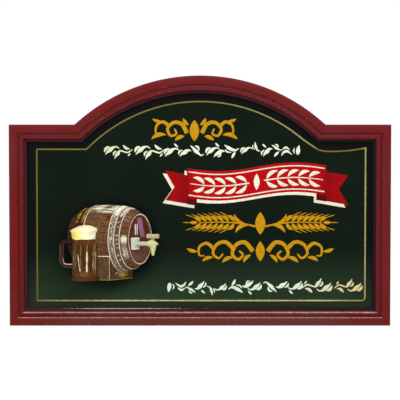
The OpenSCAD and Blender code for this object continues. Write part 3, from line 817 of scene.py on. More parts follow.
def stripe_line():
    """Corners of the pinstripe, once round from the bottom left; the arch is one of many."""
    u = STRIPE_IN
    left, right = STRIPE_LEFT_IN - HALF_W, HALF_W - u
    low, high = Z_BOTTOM + u, Z_SHOULDER - u
    radius = ARCH_R - STRIPE_ARCH_IN
    angles = np.linspace(-1, STRIPE_ARCH_END, STRIPE_ARCH_POINTS) * math.acos((high - Z_ARCH) / radius)
    arch = [(radius * math.sin(a), Z_ARCH + radius * math.cos(a)) for a in angles]
    sag = [(x, high + rise) for x, rise in STRIPE_SAG]
    quarter = np.linspace(0, math.pi / 2, 5)
    bend = [(right - STRIPE_BEND * (1 - math.cos(a)), low + STRIPE_BEND * (1 - math.sin(a))) for a in quarter]
    return np.array([(left, low), (left, high), *arch, *sag, (right, high + STRIPE_RISE), *bend])


def stripe_warmth(x, z):
    """How brown the pinstripe is: most at the left, least along the bottom."""
    if x < STRIPE_LEFT_IN - HALF_W + 1:
        return 0.86
    if z < Z_BOTTOM + STRIPE_IN + 1:
        return 0.55 * smooth(-160, -250, x) + 0.5 * smooth(210, 250, x)
    if x > HALF_W - STRIPE_IN - 1:
        return 0.3
    return 0.84 if x > HALF_CHORD - 10 else 0.78 - 0.34 * smooth(-20, 160, x)


def add_pinstripe():
    """Gold line, brushed in short lengths, wider and thinner, mitred at its corners."""
    corners = stripe_line()
    after = np.roll(corners, -1, axis=0) - corners
    lengths = np.linalg.norm(after, axis=1)
    after /= lengths[:, None]
    both = after + np.roll(after, 1, axis=0)
    turned = (after * np.roll(after, 1, axis=0)).sum(axis=1)
    mitres = np.stack([-both[:, 1], both[:, 0]], 1) / (1 + turned)[:, None]
    rings = []
    warms = []
    for i, corner in enumerate(corners):
        steps = max(1, round(lengths[i] / STRIPE_STEP))
        for t in np.arange(steps) / steps:
            x, z = corner + after[i] * lengths[i] * t
            half = STRIPE_W / 2 * (1 + 0.16 * rough(x * 0.03, 7, z * 0.03))
            side = (mitres[i] * (1 - t) + mitres[(i + 1) % len(corners)] * t) * half
            rings.append(painted_ring(x, z, *side))
            warms.append([stripe_warmth(x, z)] * len(rings[-1]))
    return Shape().loft(rings, loop=True, warm=warms).piece("pinstripe", STRIPE_PAINT, "panel_paint")


# Half of a scroll: stems as points, thickness and thinness, then leaves as base, tip, width and bend
FLOURISH_AT = (-9, 303)
FLOURISH_STEMS = (
    (((12, -4), (20, 10), (33, 13), (43, 3), (38, -8), (29, -5), (32, 3)), 7, 2.6),
    (((41, 7), (50, 14), (60, 9), (62, -3), (54, -5)), 6, 2),
)
FLOURISH_LEAVES = (
    ((16, -9), (31, -16), 6, 0.12), ((45, -7), (69, -14), 6.4, 0.16),
    ((9, 9), (18, 20), 5.4, -0.12), ((53, 15), (67, 19), 4.8, -0.1),
)
SCROLL_AT = (97, 109)
SCROLL_STEMS = (
    (((12, 0), (24, 14), (38, 11), (45, -4), (36, -13), (28, -6), (34, 1)), 7.4, 3),
    (((44, 5), (56, 15), (70, 11), (76, -3), (67, -11), (60, -4)), 6.8, 2.6),
    (((75, 4), (86, 13), (98, 7), (98, -6), (90, -7)), 6, 2),
)
SCROLL_LEAVES = (
    ((44, -10), (61, -18), 6, 0.14), ((76, -10), (93, -16), 5.6, 0.14),
    ((101, 0), (118, 5), 5.4, -0.1), ((15, -6), (27, -18), 5.6, 0.14),
)


def scroll(shape, middle, stems, leaves):
    """Stems and leaves to both sides of a place, mirrored."""
    for side in (-1, 1):
        at = Spot(*middle, 0, 1, side)
        for line in stems:
            stem(shape, at, *line)
        for base, tip, width, bend in leaves:
            leaf(shape, at(*base), at(*tip), width, bend * side)


def add_flourish():
    """Gold scrolls either side of a lozenge, at the top of the board."""
    shape = Shape()
    scroll(shape, FLOURISH_AT, FLOURISH_STEMS, FLOURISH_LEAVES)
    lozenge(shape, *FLOURISH_AT, 17, 15)
    return shape.piece("flourish", GOLD_PAINT, "panel_paint")


RIBBON_X = 91
RIBBON_Z = 221
RIBBON_HALF = 112
RIBBON_H = 48
RIBBON_WAVE = 7
RIBBON_LIFT = 0.5
SHADE_OFF = -4
TAIL_TUCK = 16
TAIL_LEN = 51
TAIL_DROP = 10
TAIL_NOTCH = 15
RIBBON_COLUMNS = 45
TAIL_COLUMNS = 14
FOLD_COLUMNS = 6
# Share of a band's width, and of its lift, from edge to edge
BAND_RISE = ((0, 0.15), (0.03, 0.7), (0.08, 1), (0.29, 1), (0.5, 1), (0.71, 1), (0.92, 1), (0.97, 0.7),
             (1, 0.15))


def ribbon_z(x, share, drop=0):
    """Height on the board at a place along the ribbon and a share of its width."""
    wave = RIBBON_WAVE * math.sin((x - RIBBON_X) / RIBBON_HALF * math.pi * 0.9)
    return RIBBON_Z + wave - drop + (share - 0.5) * RIBBON_H


def band(shape, place, lift, off, count, warm=0.0):
    """Flat band of paint; place turns a share of its length and one of its width into (x, z)."""
    rings = []
    for s in np.linspace(0, 1, count):
        spots = [(*place(s, t), -BOARD_V - lift * h) for t, h in BAND_RISE]
        spots += [(*place(s, t), 0.02 - BOARD_V) for t, _ in reversed(BAND_RISE)]
        rings.append([(x + off, y, z + off) for x, z, y in spots])
    first = len(shape.points)
    size = len(rings[0])
    shape.loft(rings, caps=False, warm=warm)
    for end in (first, first + (count - 1) * size):
        for i in range(size // 2 - 1):
            shape.faces.append((end + i, end + i + 1, end + size - 2 - i, end + size - 1 - i))
    return shape


def ribbon(shape, off, lift):
    """Ribbon with two notched tails behind its ends and a dark fold at each."""
    for side in (-1, 1):
        def tail(s, t):
            reach = TAIL_LEN - TAIL_NOTCH * (1 - abs(2 * t - 1))
            x = RIBBON_X + side * (RIBBON_HALF - TAIL_TUCK + s * reach)
            return x, ribbon_z(x, t, TAIL_DROP)

        def fold(s, t):
            x = RIBBON_X + side * (RIBBON_HALF - TAIL_TUCK * (1 - s))
            return x, ribbon_z(x, 0, TAIL_DROP * (1 - t))

        shade = np.linspace(0.75, 0.3, TAIL_COLUMNS)[:, None]
        band(shape, tail, lift * 0.6, off, TAIL_COLUMNS, shade)
        band(shape, fold, lift * 0.8, off, FOLD_COLUMNS, 1.0)

    def middle(s, t):
        x = RIBBON_X + (2 * s - 1) * RIBBON_HALF
        return x, ribbon_z(x, t)

    ends = 0.5 * smooth(0.88, 1, np.abs(np.linspace(-1, 1, RIBBON_COLUMNS)))[:, None]
    band(shape, middle, lift, off, RIBBON_COLUMNS, ends)


SPRAY_LEAVES = 5
SPRAY_PITCH = 17


def ribbon_spray(shape):
    """Two lines along the ribbon's edges, and leaves either side of a stem from a lozenge outwards."""
    lift = RIBBON_LIFT + PAINT_H
    xs = RIBBON_X + np.linspace(3 - RIBBON_HALF, RIBBON_HALF - 3, 40)
    for share in (0.11, 0.89):
        stroke(shape, [(x, ribbon_z(x, share)) for x in xs], 2.4, lift=lift)
    for side in (-1, 1):
        reach = np.linspace(12, 22 + SPRAY_LEAVES * SPRAY_PITCH, 24)
        line = [(RIBBON_X + side * d, ribbon_z(RIBBON_X + side * d, 0.5)) for d in reach]
        stroke(shape, line, np.linspace(3, 1.6, len(line)), lift=lift)
        for i in range(SPRAY_LEAVES):
            base = RIBBON_X + side * (16 + i * SPRAY_PITCH)
            tip = base + side * 18
            for up in (-1, 1):
                start = (base, ribbon_z(base, 0.5) + up * 1.5)
                end = (tip, ribbon_z(tip, 0.5) + up * (12.5 - 0.5 * i))
                leaf(shape, start, end, 7.4, 0.16 * up * side, lift)
    lozenge(shape, RIBBON_X, RIBBON_Z, 13, 12, lift)


def add_ribbon():
    shade = Shape()
    ribbon(shade, SHADE_OFF, 0.2)
    shade.piece("ribbon_shade", SHADE_PAINT, "panel_paint")
    shape = Shape()
    ribbon(shape, 0, RIBBON_LIFT)
    shape.piece("ribbon", RED_PAINT, "panel_paint")
    spray = Shape()
    ribbon_spray(spray)
    return spray.piece("ribbon_spray", SHADE_PAINT, "panel_paint")


BARLEY_AT = (97, 154)
BARLEY_GAP = 16
GRAINS = 7
GRAIN_PITCH = 9
GRAINS_FROM = 26


def barley_ear(shape, at):
    """Ear of barley along local +X on its stalk, with two leaves."""
    tip = GRAINS_FROM + GRAINS * GRAIN_PITCH
    stem(shape, at, ((-8, -5), (10, -1), (40, 2), (tip - 6, 1)), 3.2, 1.4)
    for i in range(GRAINS):
        x = GRAINS_FROM + i * GRAIN_PITCH
        for side in (-1, 1):
            spread = side * (11 - 0.5 * i)
            leaf(shape, at(x, 1.5 + side), at(x + 11, 1.5 + spread), 5.6, 0.14 * side * at.flip)
            leaf(shape, at(x + 10, 1.5 + spread), at(x + 24, 1.5 + spread * 1.55), 1.1)
    leaf(shape, at(tip - 4, 1.4), at(tip + 9, 1.4), 5)
    leaf(shape, at(tip + 7, 1.4), at(tip + 20, 1.4), 1.1)
    leaf(shape, at(2, -3), at(24, -15), 6.2, 0.2 * at.flip)
    leaf(shape, at(8, 0), at(26, 15), 5.6, -0.2 * at.flip)


def add_barley():
    """Two ears of barley from a lozenge outwards, and a scroll under them."""
    shape = Shape()
    x, z = BARLEY_AT
    for side in (-1, 1):
        barley_ear(shape, Spot(x + side * BARLEY_GAP, z, 0, 1, side))
    lozenge(shape, x, z, 18, 16)
    scroll(shape, SCROLL_AT, SCROLL_STEMS, SCROLL_LEAVES)
    lozenge(shape, *SCROLL_AT, 16, 14)
    return shape.piece("barley", GOLD_PAINT, "panel_paint")


# Relief: barrel


def barrel_point(along, across, up, turn=BARREL_TURN):
    """Place of a point of the barrel: along its axis, across it towards the viewer, and up."""
    x = X_BARREL + along * math.cos(turn) - across * math.sin(turn)
    depth = along * math.sin(turn) + across * math.cos(turn)
    return x, -BOARD_V - BARREL_STAND - FLATTEN * depth, Z_BARREL + up


def stave_radius(along):
    return BELLY_R - STAVE_R + math.sqrt(STAVE_R ** 2 - along ** 2)


# Angles up from the viewer's side at which the barrel is lit from above and its rear hoops gilt
TOP_LIT = (0.7, 1.1, 1.6, 2.2)
GILT_LIT = (0.2, 0.7, 1.2, 1.7)
# Places along the barrel: bare staves in front of the hoops, end of the light, start of the dark
CHIME = (42, 44.5, 52, 54.4)
LIT_TO = (46, 38)
DARK_FROM = (-36, -45)
STAVES = 30
# Share of a stave's width, and of the depth of its joint there
STAVE_SHARES = ((0, 1), (0.05, 0.6), (0.11, 0.12), (0.22, 0), (0.36, 0), (0.5, 0), (0.64, 0), (0.78, 0),
                (0.89, 0.12), (0.95, 0.6))
STAVE_SEED = 11
STAVE_LIFT = 0.22
STAVE_RINGS = 73
GROOVE_D = 0.7
RIM_W = 1.2


def add_barrel():
    """Staves with open joints and grain, a rim at the front, cut flat where it meets the board."""
    draw = random.Random(STAVE_SEED)
    lifts = [draw.uniform(-STAVE_LIFT, STAVE_LIFT) for _ in range(STAVES)]
    columns = [(stave, share, groove) for stave in range(STAVES) for share, groove in STAVE_SHARES]
    end = BARREL_LEN / 2
    skin = Skin()

    def wooden_ring(along):
        skin.ring()
        for stave, share, groove in columns:
            turn = (stave + share) / STAVES * 2 * math.pi - math.pi
            grain = max(0, rough(along * 0.035 + 9 * stave, share * 6, stave)) * 0.4
            r = stave_radius(along) - GROOVE_D * groove - grain * (1 - groove) + lifts[stave]
            chime = hill(along, *CHIME)
            # Silver on the chime: drybrushed wear with a painted highlight
            wear_and_light = 0.53 * bump_at(turn, -0.5, 0.5) + 0.55 * bump_at(turn, 0.04, 0.17)
            dark = smooth(*DARK_FROM, along)
            patchy = 0.46 + 0.45 * rough(along * 0.06, turn * 9, 5)
            # Painted highlight along the top, broken up, fading at the front end and gone at the darker rear
            # end
            light = hill(turn, *TOP_LIT) * patchy * smooth(*LIT_TO, along) * (1 - dark)
            # Drybrush, with the painted highlight over it; the chime's top gets a little painted highlight
            # too
            drybrush_and_highlight = 0.2 * (1 - dark) + 0.74 * light
            skin.point(
                barrel_point(along, *polar(r, turn)),
                grain=(along, share * 11 + stave * 31, r),
                low=groove * 0.55 + grain + 0.75 * dark,
                high=drybrush_and_highlight * (1 - 0.6 * groove) + 0.16 * chime * bump_at(turn, 0.9, 0.3),
                spot=chime * wear_and_light,
            )

    def plain_ring(along, radius, line=0.0):
        skin.ring()
        for stave, share, _ in columns:
            turn = (stave + share) / STAVES * 2 * math.pi - math.pi
            place = barrel_point(along, *polar(radius, turn))
            painted = line * (0.85 + 0.3 * rough(turn * 2, along, 3))
            skin.point(place, grain=(along, turn * 20, radius), line=painted)

    plain_ring(-end, 1)
    plain_ring(-end, END_R - RIM_W)
    for along in np.linspace(-end, end, STAVE_RINGS):
        wooden_ring(along)
    plain_ring(end + 0.25, END_R - RIM_W, 1)
    plain_ring(end + 0.2, END_R - 2.5, 0.65)
    plain_ring(end - 0.6, END_R - STAVE_T)
    plain_ring(HEAD_FRONT - 1, END_R - STAVE_T)
    plain_ring(HEAD_FRONT - 1, 1)
    skin.piece("barrel_staves", BARREL_PAINT, "barrel_paint", "barrel_body", cut=BOARD_V, sharp=50)


HOOP_COLUMNS = 320
HOOP_FACE_ROWS = 9
# Share of a hoop's width, height and painted line at its rolled edge
HOOP_EDGE = ((0, -0.4, 0), (0, 0.35, 0.9), (0.03, 0.5, 1), (0.11, 0.42, 1), (0.17, 0.1, 0.2))
HAMMER_PITCH = 4.2
STUD_PITCH = math.radians(8)
STUD_R = 2.1
STUD_H = 0.9
STUD_SLANT = 0.5
HAMMER_D = 0.35


def hoop_height(along, middle, turn, radius, studs):
    """Height of a hoop's face over its plain thickness, and how bright and how deep it is there."""
    cell = noise.voronoi(Vector((along, radius * turn, 3.1)) / HAMMER_PITCH)[0]
    edge = min(1, (cell[1] - cell[0]) * 2.2)
    height = HAMMER_D * (0.5 - edge)
    if not studs:
        return height, 0.17 + 0.34 * (1 - edge), 0.7 * edge
    nearest = round(turn / STUD_PITCH)
    size = STUD_R * (1 + 0.6 * rough(nearest * 1.7, 2, 6))
    at = (nearest + 0.42 * rough(nearest * 3.1, 4, 2)) * STUD_PITCH
    beside = along - middle
    around = (at - turn) * radius + STUD_SLANT * beside
    off = math.hypot(beside - 1.6 * rough(nearest * 2.9, 1, 5), around) / size
    dome = math.sqrt(max(0, 1 - off * off))
    rubbed = 0.38 + 0.6 * rough(nearest * 2.3, 8, 1)
    return height * 0.6 + STUD_H * dome, rubbed * dome + 0.24 * (1 - edge), 0.4 * edge * (dome == 0)


def add_hoop(name, start, width, material, lines, bright, gilt):
    """Band of hammered metal with rolled edges, round the staves, cut flat at the board."""
    studs = "stud" in name
    near = [(share, height, line * lines[0]) for share, height, line in HOOP_EDGE]
    far = [(1 - share, height, line * lines[1]) for share, height, line in reversed(HOOP_EDGE)]
    face = [(share, None, 0) for share in np.linspace(0.24, 0.76, HOOP_FACE_ROWS)]
    skin = Skin()
    for turn in turns(HOOP_COLUMNS, -0.5):
        # Painted highlight along the top and painted shade underneath, weaker on the rear hoops
        light = bright * (0.42 * hill(turn, *TOP_LIT) - 0.25 * smooth(-0.1, -0.9, turn))
        gilded = gilt * hill(turn, *GILT_LIT)
        skin.ring()
        for share, height, line in near + face + far:
            along = start + share * width
            radius = stave_radius(along)
            high = low = 0.0
            if height is None:
                height, high, low = hoop_height(along, start + width / 2, turn, radius, studs)
            r = radius + (HOOP_T + height if height > -0.4 else height)
            skin.point(
                barrel_point(along, *polar(r, turn)),
                grain=(radius * turn, along, r),
                low=low + (1 - bright),
                high=bright * high + light if not line else 0,
                line=line * (0.8 + 0.3 * rough(turn * 4, along, 1)),
                spot=gilded * (0.25 + 1.1 * high),
            )
    skin.piece(name + "_band", material, "hoop_paint", name + "_hoop", loop=True, cut=BOARD_V, sharp=60)


HOOP_GAP = 0.1


def add_hoops():
    """Front and rear hoops, each with a studded one towards the barrel's end."""
    front = HOOP_FROM + HOOP_W + HOOP_GAP
    rear = -REAR_HOOP_FROM - HOOP_W
    rear_stud = -(REAR_HOOP_FROM + HOOP_W + HOOP_GAP + REAR_STUD_HOOP_W)
    add_hoop("front", HOOP_FROM, HOOP_W, HOOP_PAINT, (1, 0.9), 1, 0)
    add_hoop("front_stud", front, STUD_HOOP_W, STUD_PAINT, (0, 1), 1, 0)
    add_hoop("rear", rear, HOOP_W, REAR_PAINT, (0.5, 1), 0.5, 0.8)
    add_hoop("rear_stud", rear_stud, REAR_STUD_HOOP_W, REAR_PAINT, (0.6, 0), 0.3, 1)


HEAD_BOARDS = (-29, -17, -6, 5, 16, 27)
HEAD_JOINT = 0.8
HEAD_COLUMNS = 160
HEAD_RINGS = 44
HEAD_GAP = 0.1
# Brush strokes on the head, a painted reflection: places across it, to the left, and up
VIOLET_ACROSS = (-19, -14, -3, 3)
VIOLET_UP = (-2, 8, 31, 37)
VIOLET_LEAN = 0.4
WHITE_ACROSS = (11.5, 5)
WHITE_UP = (1, 9, 22, 30)


def add_head():
    """Round head of upright boards, with a violet stroke of the brush and white ones beside it.

    The strokes are a painted reflection laid on as brush strokes.
    """
    radius = END_R - STAVE_T - HEAD_GAP
    skin = Skin()
    for share in (*np.linspace(0.01, 0.97, HEAD_RINGS), 1):
        skin.ring()
        for turn in turns(HEAD_COLUMNS):
            across, up = polar(share * radius, turn)
            joint = min(abs(across - j) for j in HEAD_BOARDS)
            groove = smooth(HEAD_JOINT, 0, joint)
            swell = 0.3 * rough(across * 0.09, up * 0.02, 4) - 0.7 * groove - 0.6 * (share == 1)
            leaned = across - VIOLET_LEAN * (up - 18)
            violet = hill(leaned, *VIOLET_ACROSS) * hill(up, *VIOLET_UP)
            white = bump_at(across, WHITE_ACROSS[0], 3) + 0.9 * bump_at(across, WHITE_ACROSS[1], 3)
            skin.point(
                barrel_point(HEAD_FRONT + swell, across, up),
                grain=(up, across, 7),
                low=0.8 * groove + 0.45 * smooth(-4, 14, up) * smooth(-8, -20, across),
                high=0.34 * smooth(6, -14, up) + 0.12,
                line=0.8 * white * hill(up, *WHITE_UP),
                spot=0.72 * violet,
            )
    skin.ring()
    for turn in turns(HEAD_COLUMNS):
        back = barrel_point(HEAD_FRONT - HEAD_T + 0.2, *polar(radius, turn))
        skin.point(back, grain=(0, turn * 20, 0))
    skin.piece("barrel_head_boards", HEAD_PAINT, "head_paint", "barrel_head", sharp=60)


BUNG_ALONG = 18.5
BUNG_TURN = math.radians(42)
BUNG_R = 3.2
BUNG_COLUMNS = 28
# Radius, and height over the staves
BUNG_PROFILE = ((0.2, 2.2), (1.2, 2.1), (2.2, 1.7), (2.9, 1), (BUNG_R, 0.2), (BUNG_R, -4))


def add_bung():
    """Turned plug with a rounded top, square to the staves."""
    rings = []
    shades = []
    cos, sin = math.cos(BUNG_TURN), math.sin(BUNG_TURN)
    for r, height in BUNG_PROFILE:
        reach = stave_radius(BUNG_ALONG) + height
        rings.append([])
        for a in turns(BUNG_COLUMNS):
            along, side = polar(r, a)
            rings[-1].append(
                barrel_point(BUNG_ALONG + along, reach * cos - side * sin, reach * sin + side * cos)
            )
        shades.append([0.5 if height < 0.5 else 0] * BUNG_COLUMNS)
    Shape().loft(rings, warm=shades).piece("barrel_bung", BUNG_PAINT, "bung_paint", ("bung",))


CRADLE_EDGE = 0.9
# Distances of the mesh's first lines from an edge, and the counts of those between
CRADLE_LINES = (0, 0.5, 1.4)
CRADLE_INNER = 2.8
CRADLE_COLUMNS = 48
CRADLE_ROWS = 34


def edged(length, count):
    """Places along a length, close together near its ends; the far end itself is left out."""
    middle = np.linspace(CRADLE_INNER, length - CRADLE_INNER, count)
    return (*CRADLE_LINES, *middle, length - CRADLE_LINES[2], length - CRADLE_LINES[1])


def add_cradle():
    """Block under the barrel: two faced sides with painted edges, its top hidden by the barrel."""
    corners = ((-CRADLE_REAR, -CRADLE_HALF), (CRADLE_FRONT, -CRADLE_HALF), (CRADLE_FRONT, CRADLE_HALF),
               (-CRADLE_REAR, CRADLE_HALF))
    plan = []
    for (a0, c0), (a1, c1) in zip(corners, corners[1:] + corners[:1]):
        length = math.hypot(a1 - a0, c1 - c0)
        for s in edged(length, CRADLE_COLUMNS):
            t = s / length
            plan.append((a0 + (a1 - a0) * t, c0 + (c1 - c0) * t, s, min(s, length - s)))
    top = CRADLE_H
    skin = Skin()
    for h in (*edged(top, CRADLE_ROWS), top):
        skin.ring()
        for along, across, s, near in plan:
            rounding = CRADLE_EDGE * (max(0, 1 - near) + max(0, 1 - min(h, top - h)))
            wave = 0.5 * rough(s * 0.35 + along * 0.2, h * 0.03, 8)
            pull = (rounding - wave) / CRADLE_HALF
            end_face = along > CRADLE_FRONT - 1 and across < CRADLE_HALF - 1
            corner = smooth(2.4, 1.2, near) * 0.8 if across < 0 else smooth(1.6, 0.9, near) * 0.62
            rim = smooth(1.8, 1, top - h) * 0.95
            foot = smooth(1.6, 0.8, h)
            stroked = 0.85 + 0.9 * rough(across * 0.1 + h * 0.12, h * 0.4, 6)
            glow = bump_at(across, -4, 22) * bump_at(h, 8.5, 5.5) * stroked
            scrawl = smooth(0.05, 0.3, rough(across * 0.14 + h * 0.4, h * 0.06 - across * 0.02, 9))
            scratch = 0.85 * bump_at(across, 22, 20) * bump_at(h, 10, 6) * scrawl * end_face
            skin.point(
                barrel_point(along * (1 - pull), across * (1 - pull), Z_FOOT + h - Z_BARREL, CRADLE_TURN),
                grain=(h, s, across),
                low=0.8 * max(0, rough(s * 0.5, h * 0.05, 2)) + 0.25 * end_face + 0.12,
                high=0.24 + 0.2 * max(0, rough(s * 0.45, h * 0.12, 5)),
                line=max(corner, rim, scratch) * (1 - foot),
                spot=0.95 * glow * end_face + 0.7 * foot,
            )
    skin.piece("cradle_block", CRADLE_PAINT, "barrel_paint", "cradle", cut=BOARD_V, sharp=50)


# Relief: mug


def mug_point(r, turn, height):
    """Place of a point of the mug: turn 0 faces the viewer, and height is over its foot."""
    return X_MUG + r * math.sin(turn), -BOARD_V - MUG_STAND - r * math.cos(turn), Z_FOOT + height


FLUTES = 12
FLUTE_D = 0.8
FLUTE_RISE = 1
SIDE_SPREAD = 3
# The bright lines are painted highlights, partly glare and partly drybrush
# Bright lines down the glass: angles to the right of the viewer's side, and heights
LEFT_STREAK = -0.28
LEFT_LEAN = 0.0086
LEFT_STREAK_UP = (10, 17, 34, 66)
RIGHT_STREAK = 0.27
RIGHT_STREAK_UP = (10, 16, 44, 52)
SIDE_LINE = 1.02
INNER_LINE = 0.74
SIDE_LINES_UP = (12, 18, 46, 60)
EDGE_LINE = 0.98
FLUTE_PHASE = 0.23
MUG_COLUMNS = 192
MUG_ROWS = 40


def mug_profile():
    """Radius and height up the glass, from the middle of its foot to the middle of its brim."""
    flare = FOOT_EDGE + FLARE_H
    yield from ((1, 0), (FOOT_R - 0.7, 0), (FOOT_R, 0.7))
    yield from ((FOOT_R, FOOT_EDGE - 0.8), (FOOT_R - 0.6, FOOT_EDGE))
    for t in (0.2, 0.4, 0.6, 0.8):
        yield WAIST_R + (FOOT_R - WAIST_R) * (1 - t) ** 2.2, FOOT_EDGE + FLARE_H * t
    for t in np.linspace(0, 1, MUG_ROWS):
        yield WAIST_R + (MUG_R - WAIST_R) * t, flare + (MUG_H - flare) * t
    yield 1, MUG_H


def add_mug():
    """Glass with arched flutes, fuller at the right, with bright streaks, cut flat behind."""
    flare = FOOT_EDGE + FLARE_H
    skin = Skin()
    for r, h in mug_profile():
        skin.ring()
        fluted = hill(h, flare - 1, flare + 7, MUG_H - 12, MUG_H - 4)
        for turn in turns(MUG_COLUMNS, -0.5):
            wave = abs(math.sin(FLUTES / 2 * (turn + FLUTE_PHASE)))
            hollow = fluted * wave ** 0.7
            ridge = fluted * (1 - wave) ** 2.2
            leaning = LEFT_STREAK - LEFT_LEAN * (h - 15)
            left_streak = bump_at(turn, leaning, 0.09) * hill(h, *LEFT_STREAK_UP)
            right_streak = bump_at(turn, RIGHT_STREAK, 0.13) * hill(h, *RIGHT_STREAK_UP)
            side_lines = bump_at(abs(turn), SIDE_LINE, 0.08) + 0.95 * bump_at(turn, INNER_LINE, 0.06)
            side_lines *= hill(h, *SIDE_LINES_UP)
            patchy = 1 + 0.4 * rough(h * 0.13, turn * 3, 4)
            edge_line = bump_at(turn, EDGE_LINE, 0.12) * smooth(4, 12, h)
            crease = smooth(2.2, 0.6, abs(h - FOOT_EDGE - 1))
            base_glow = bump_at(turn, 0.05, 0.55) * bump_at(h, 11, 6)
            spread = SIDE_SPREAD * max(0, math.sin(turn)) ** 2
            # high, line and spot: drybrush on the ridges with painted highlights and glints, and the bright
            # lines
            # low: painted shade in the flutes, at the crease over the foot and on the sides turned away;
            # darker foot
            skin.point(
                mug_point(max(0.5, r + FLUTE_RISE * fluted - FLUTE_D * hollow + spread), turn, h),
                grain=(h, turn * 20, r),
                low=0.6 * hollow + 0.3 * crease + 0.5 * smooth(1.1, 1.3, abs(turn)) + 0.36 * smooth(12, 3, h),
                high=0.2 + 0.36 * ridge + 0.3 * edge_line,
                line=patchy * (0.66 * left_streak + 0.7 * right_streak + 0.58 * side_lines) + 0.1 * ridge,
                spot=0.5 * base_glow + 0.42 * ridge * smooth(50, 25, h) + 0.3 * smooth(2, 0.5, h),
            )
    skin.piece("mug_glass", MUG_PAINT, "mug_paint", "mug_body", cut=BOARD_V + MUG_SEAT, sharp=50)


FOAM_TILT = 1.5
FOAM_BRIM = 1
FOAM_SIDE_ROWS = 14
FOAM_DOME_ROWS = 26


def foam_profile():
    """Radius and height up the foam, from the middle of its underside to its crown."""
    yield from ((1, 0), (MUG_R - 0.6, 0), (MUG_R + 0.4, 0.4))
    for t in np.linspace(0.1, 0.96, FOAM_SIDE_ROWS):
        yield MUG_R + (FOAM_R - MUG_R) * t, FOAM_SIDE * t
    for t in np.linspace(0.02, 0.98, FOAM_DOME_ROWS):
        a = t * math.pi / 2
        yield FOAM_R * math.cos(a), FOAM_SIDE + FOAM_DOME * math.sin(a) ** 1.4
    yield 0.4, FOAM_SIDE + FOAM_DOME


def add_foam():
    """Head of foam: soft lumps, fuller at the brim and higher at the right, with runs over the glass."""
    skin = Skin()
    for r, h in foam_profile():
        skin.ring()
        for turn in turns(MUG_COLUMNS, -0.5):
            x, y = r * math.sin(turn), r * math.cos(turn)
            lump = 1.0 * rough(x * 0.13, y * 0.13, h * 0.17) + 0.45 * rough(x * 0.4, y * 0.4, h * 0.4 + 5)
            swollen = r + lump * smooth(0, 4, h) + FOAM_BRIM * bump_at(h, FOAM_SIDE, 4) if r > 2 else r
            run = 1.6 * max(0, rough(turn * 2.6, 2.2, 9)) * smooth(2, 0, h)
            tilt = FOAM_TILT * (x / FOAM_R) * smooth(5, 15, h)
            # low: a little painted shade between the lumps
            skin.point(
                mug_point(swollen, turn, MUG_H + h - run + tilt + 0.3 * lump * (h > 2)),
                grain=(x, y, h),
                low=smooth(0.1, -0.9, lump) * 0.12,
                spot=0.95 * smooth(-0.35, 0.7, -math.sin(turn)) * smooth(24, 10, h),
            )
    skin.piece("mug_froth", FOAM_PAINT, "foam_paint", "mug_foam", cut=BOARD_V + MUG_SEAT, sharp=60)


def rounded_section(half_u, half_v, corner, steps=4):
    """Rounded rectangle as points (u, v)."""
    points = []
    for quarter in range(4):
        cu = (half_u - corner) * (1 if quarter in (0, 3) else -1)
        cv = (half_v - corner) * (1 if quarter in (0, 1) else -1)
        for k in range(steps + 1):
            a = (quarter + k / steps) * math.pi / 2
            points.append((cu + corner * math.cos(a), cv + corner * math.sin(a)))
    return points


HANDLE_CORNER = 2.2


def handle_line():
    """Middle line of the handle as points (x, z), from the glass round to the glass again."""
    left = X_MUG - MUG_R - HANDLE_REACH + HANDLE_T / 2
    top = Z_FOOT + MUG_H - HANDLE_T / 2
    bottom = Z_FOOT + MUG_H - HANDLE_H + HANDLE_T / 2
    bend = HANDLE_R - HANDLE_T / 2
    quarter = np.linspace(0, math.pi / 2, 9)[1:]
    reach = np.linspace(10, MUG_R + HANDLE_REACH - HANDLE_R, 12)
    line = [(X_MUG - t, top) for t in reach]
    line += [(left + bend - bend * math.sin(a), top - bend + bend * math.cos(a)) for a in quarter]
    line += [(left, z) for z in np.linspace(top - bend, bottom + bend, 18)[1:]]
    line += [(left + bend - bend * math.cos(a), bottom + bend - bend * math.sin(a)) for a in quarter]
    return np.array(line + [(X_MUG - t, bottom) for t in reach[-2::-1]])


def add_handle():
    """C-shaped handle with a pale line along its inner edge, brightest low down, a painted highlight."""
    line = handle_line()
    section = rounded_section(HANDLE_T / 2, HANDLE_D / 2, HANDLE_CORNER)
    skin = Skin()
    for k, ((x, z), (dx, dz)) in enumerate(zip(line, directions(line))):
        skin.ring()
        for u, v in section:
            uneven = 0.2 * rough(k * 0.25, u, v)
            inner = smooth(0.8, 2.4, u) * smooth(0.5, 2.5, v)
            outer = smooth(-1.4, -2.6, u) * smooth(0, 2, v)
            # low: painted shade on its back and along its top; the outer edge and the inner line: painted
            # highlights
            skin.point(
                (x - dz * (u + uneven), -BOARD_V - HANDLE_STAND - v, z + dx * (u + uneven)),
                grain=(k * 2.2, u, v),
                low=smooth(-1, -4, v) * 0.6 + 0.4 * smooth(26, 14, k),
                high=0.15 + 0.55 * outer * smooth(10, 22, k),
                line=inner * (0.5 + 0.35 * smooth(28, 44, k)),
                spot=0.3 * smooth(0, -2.5, u),
            )
    skin.piece("mug_grip", HANDLE_PAINT, "mug_paint", "mug_handle", sharp=50)


# Relief: tap


def tap_point(along, across, up):
    """Place of a point of the tap: along its pipe, towards the viewer, and up."""
    x, y, _ = barrel_point(HEAD_FRONT, TAP_ACROSS, 0)
    cos, sin = math.cos(TAP_TURN), math.sin(TAP_TURN)
    return x + along * cos - across * sin, y - along * sin - across * cos, Z_TAP + up


TAP_COLUMNS = 48
KEY_ROWS = 25
KEY_END = 0.82


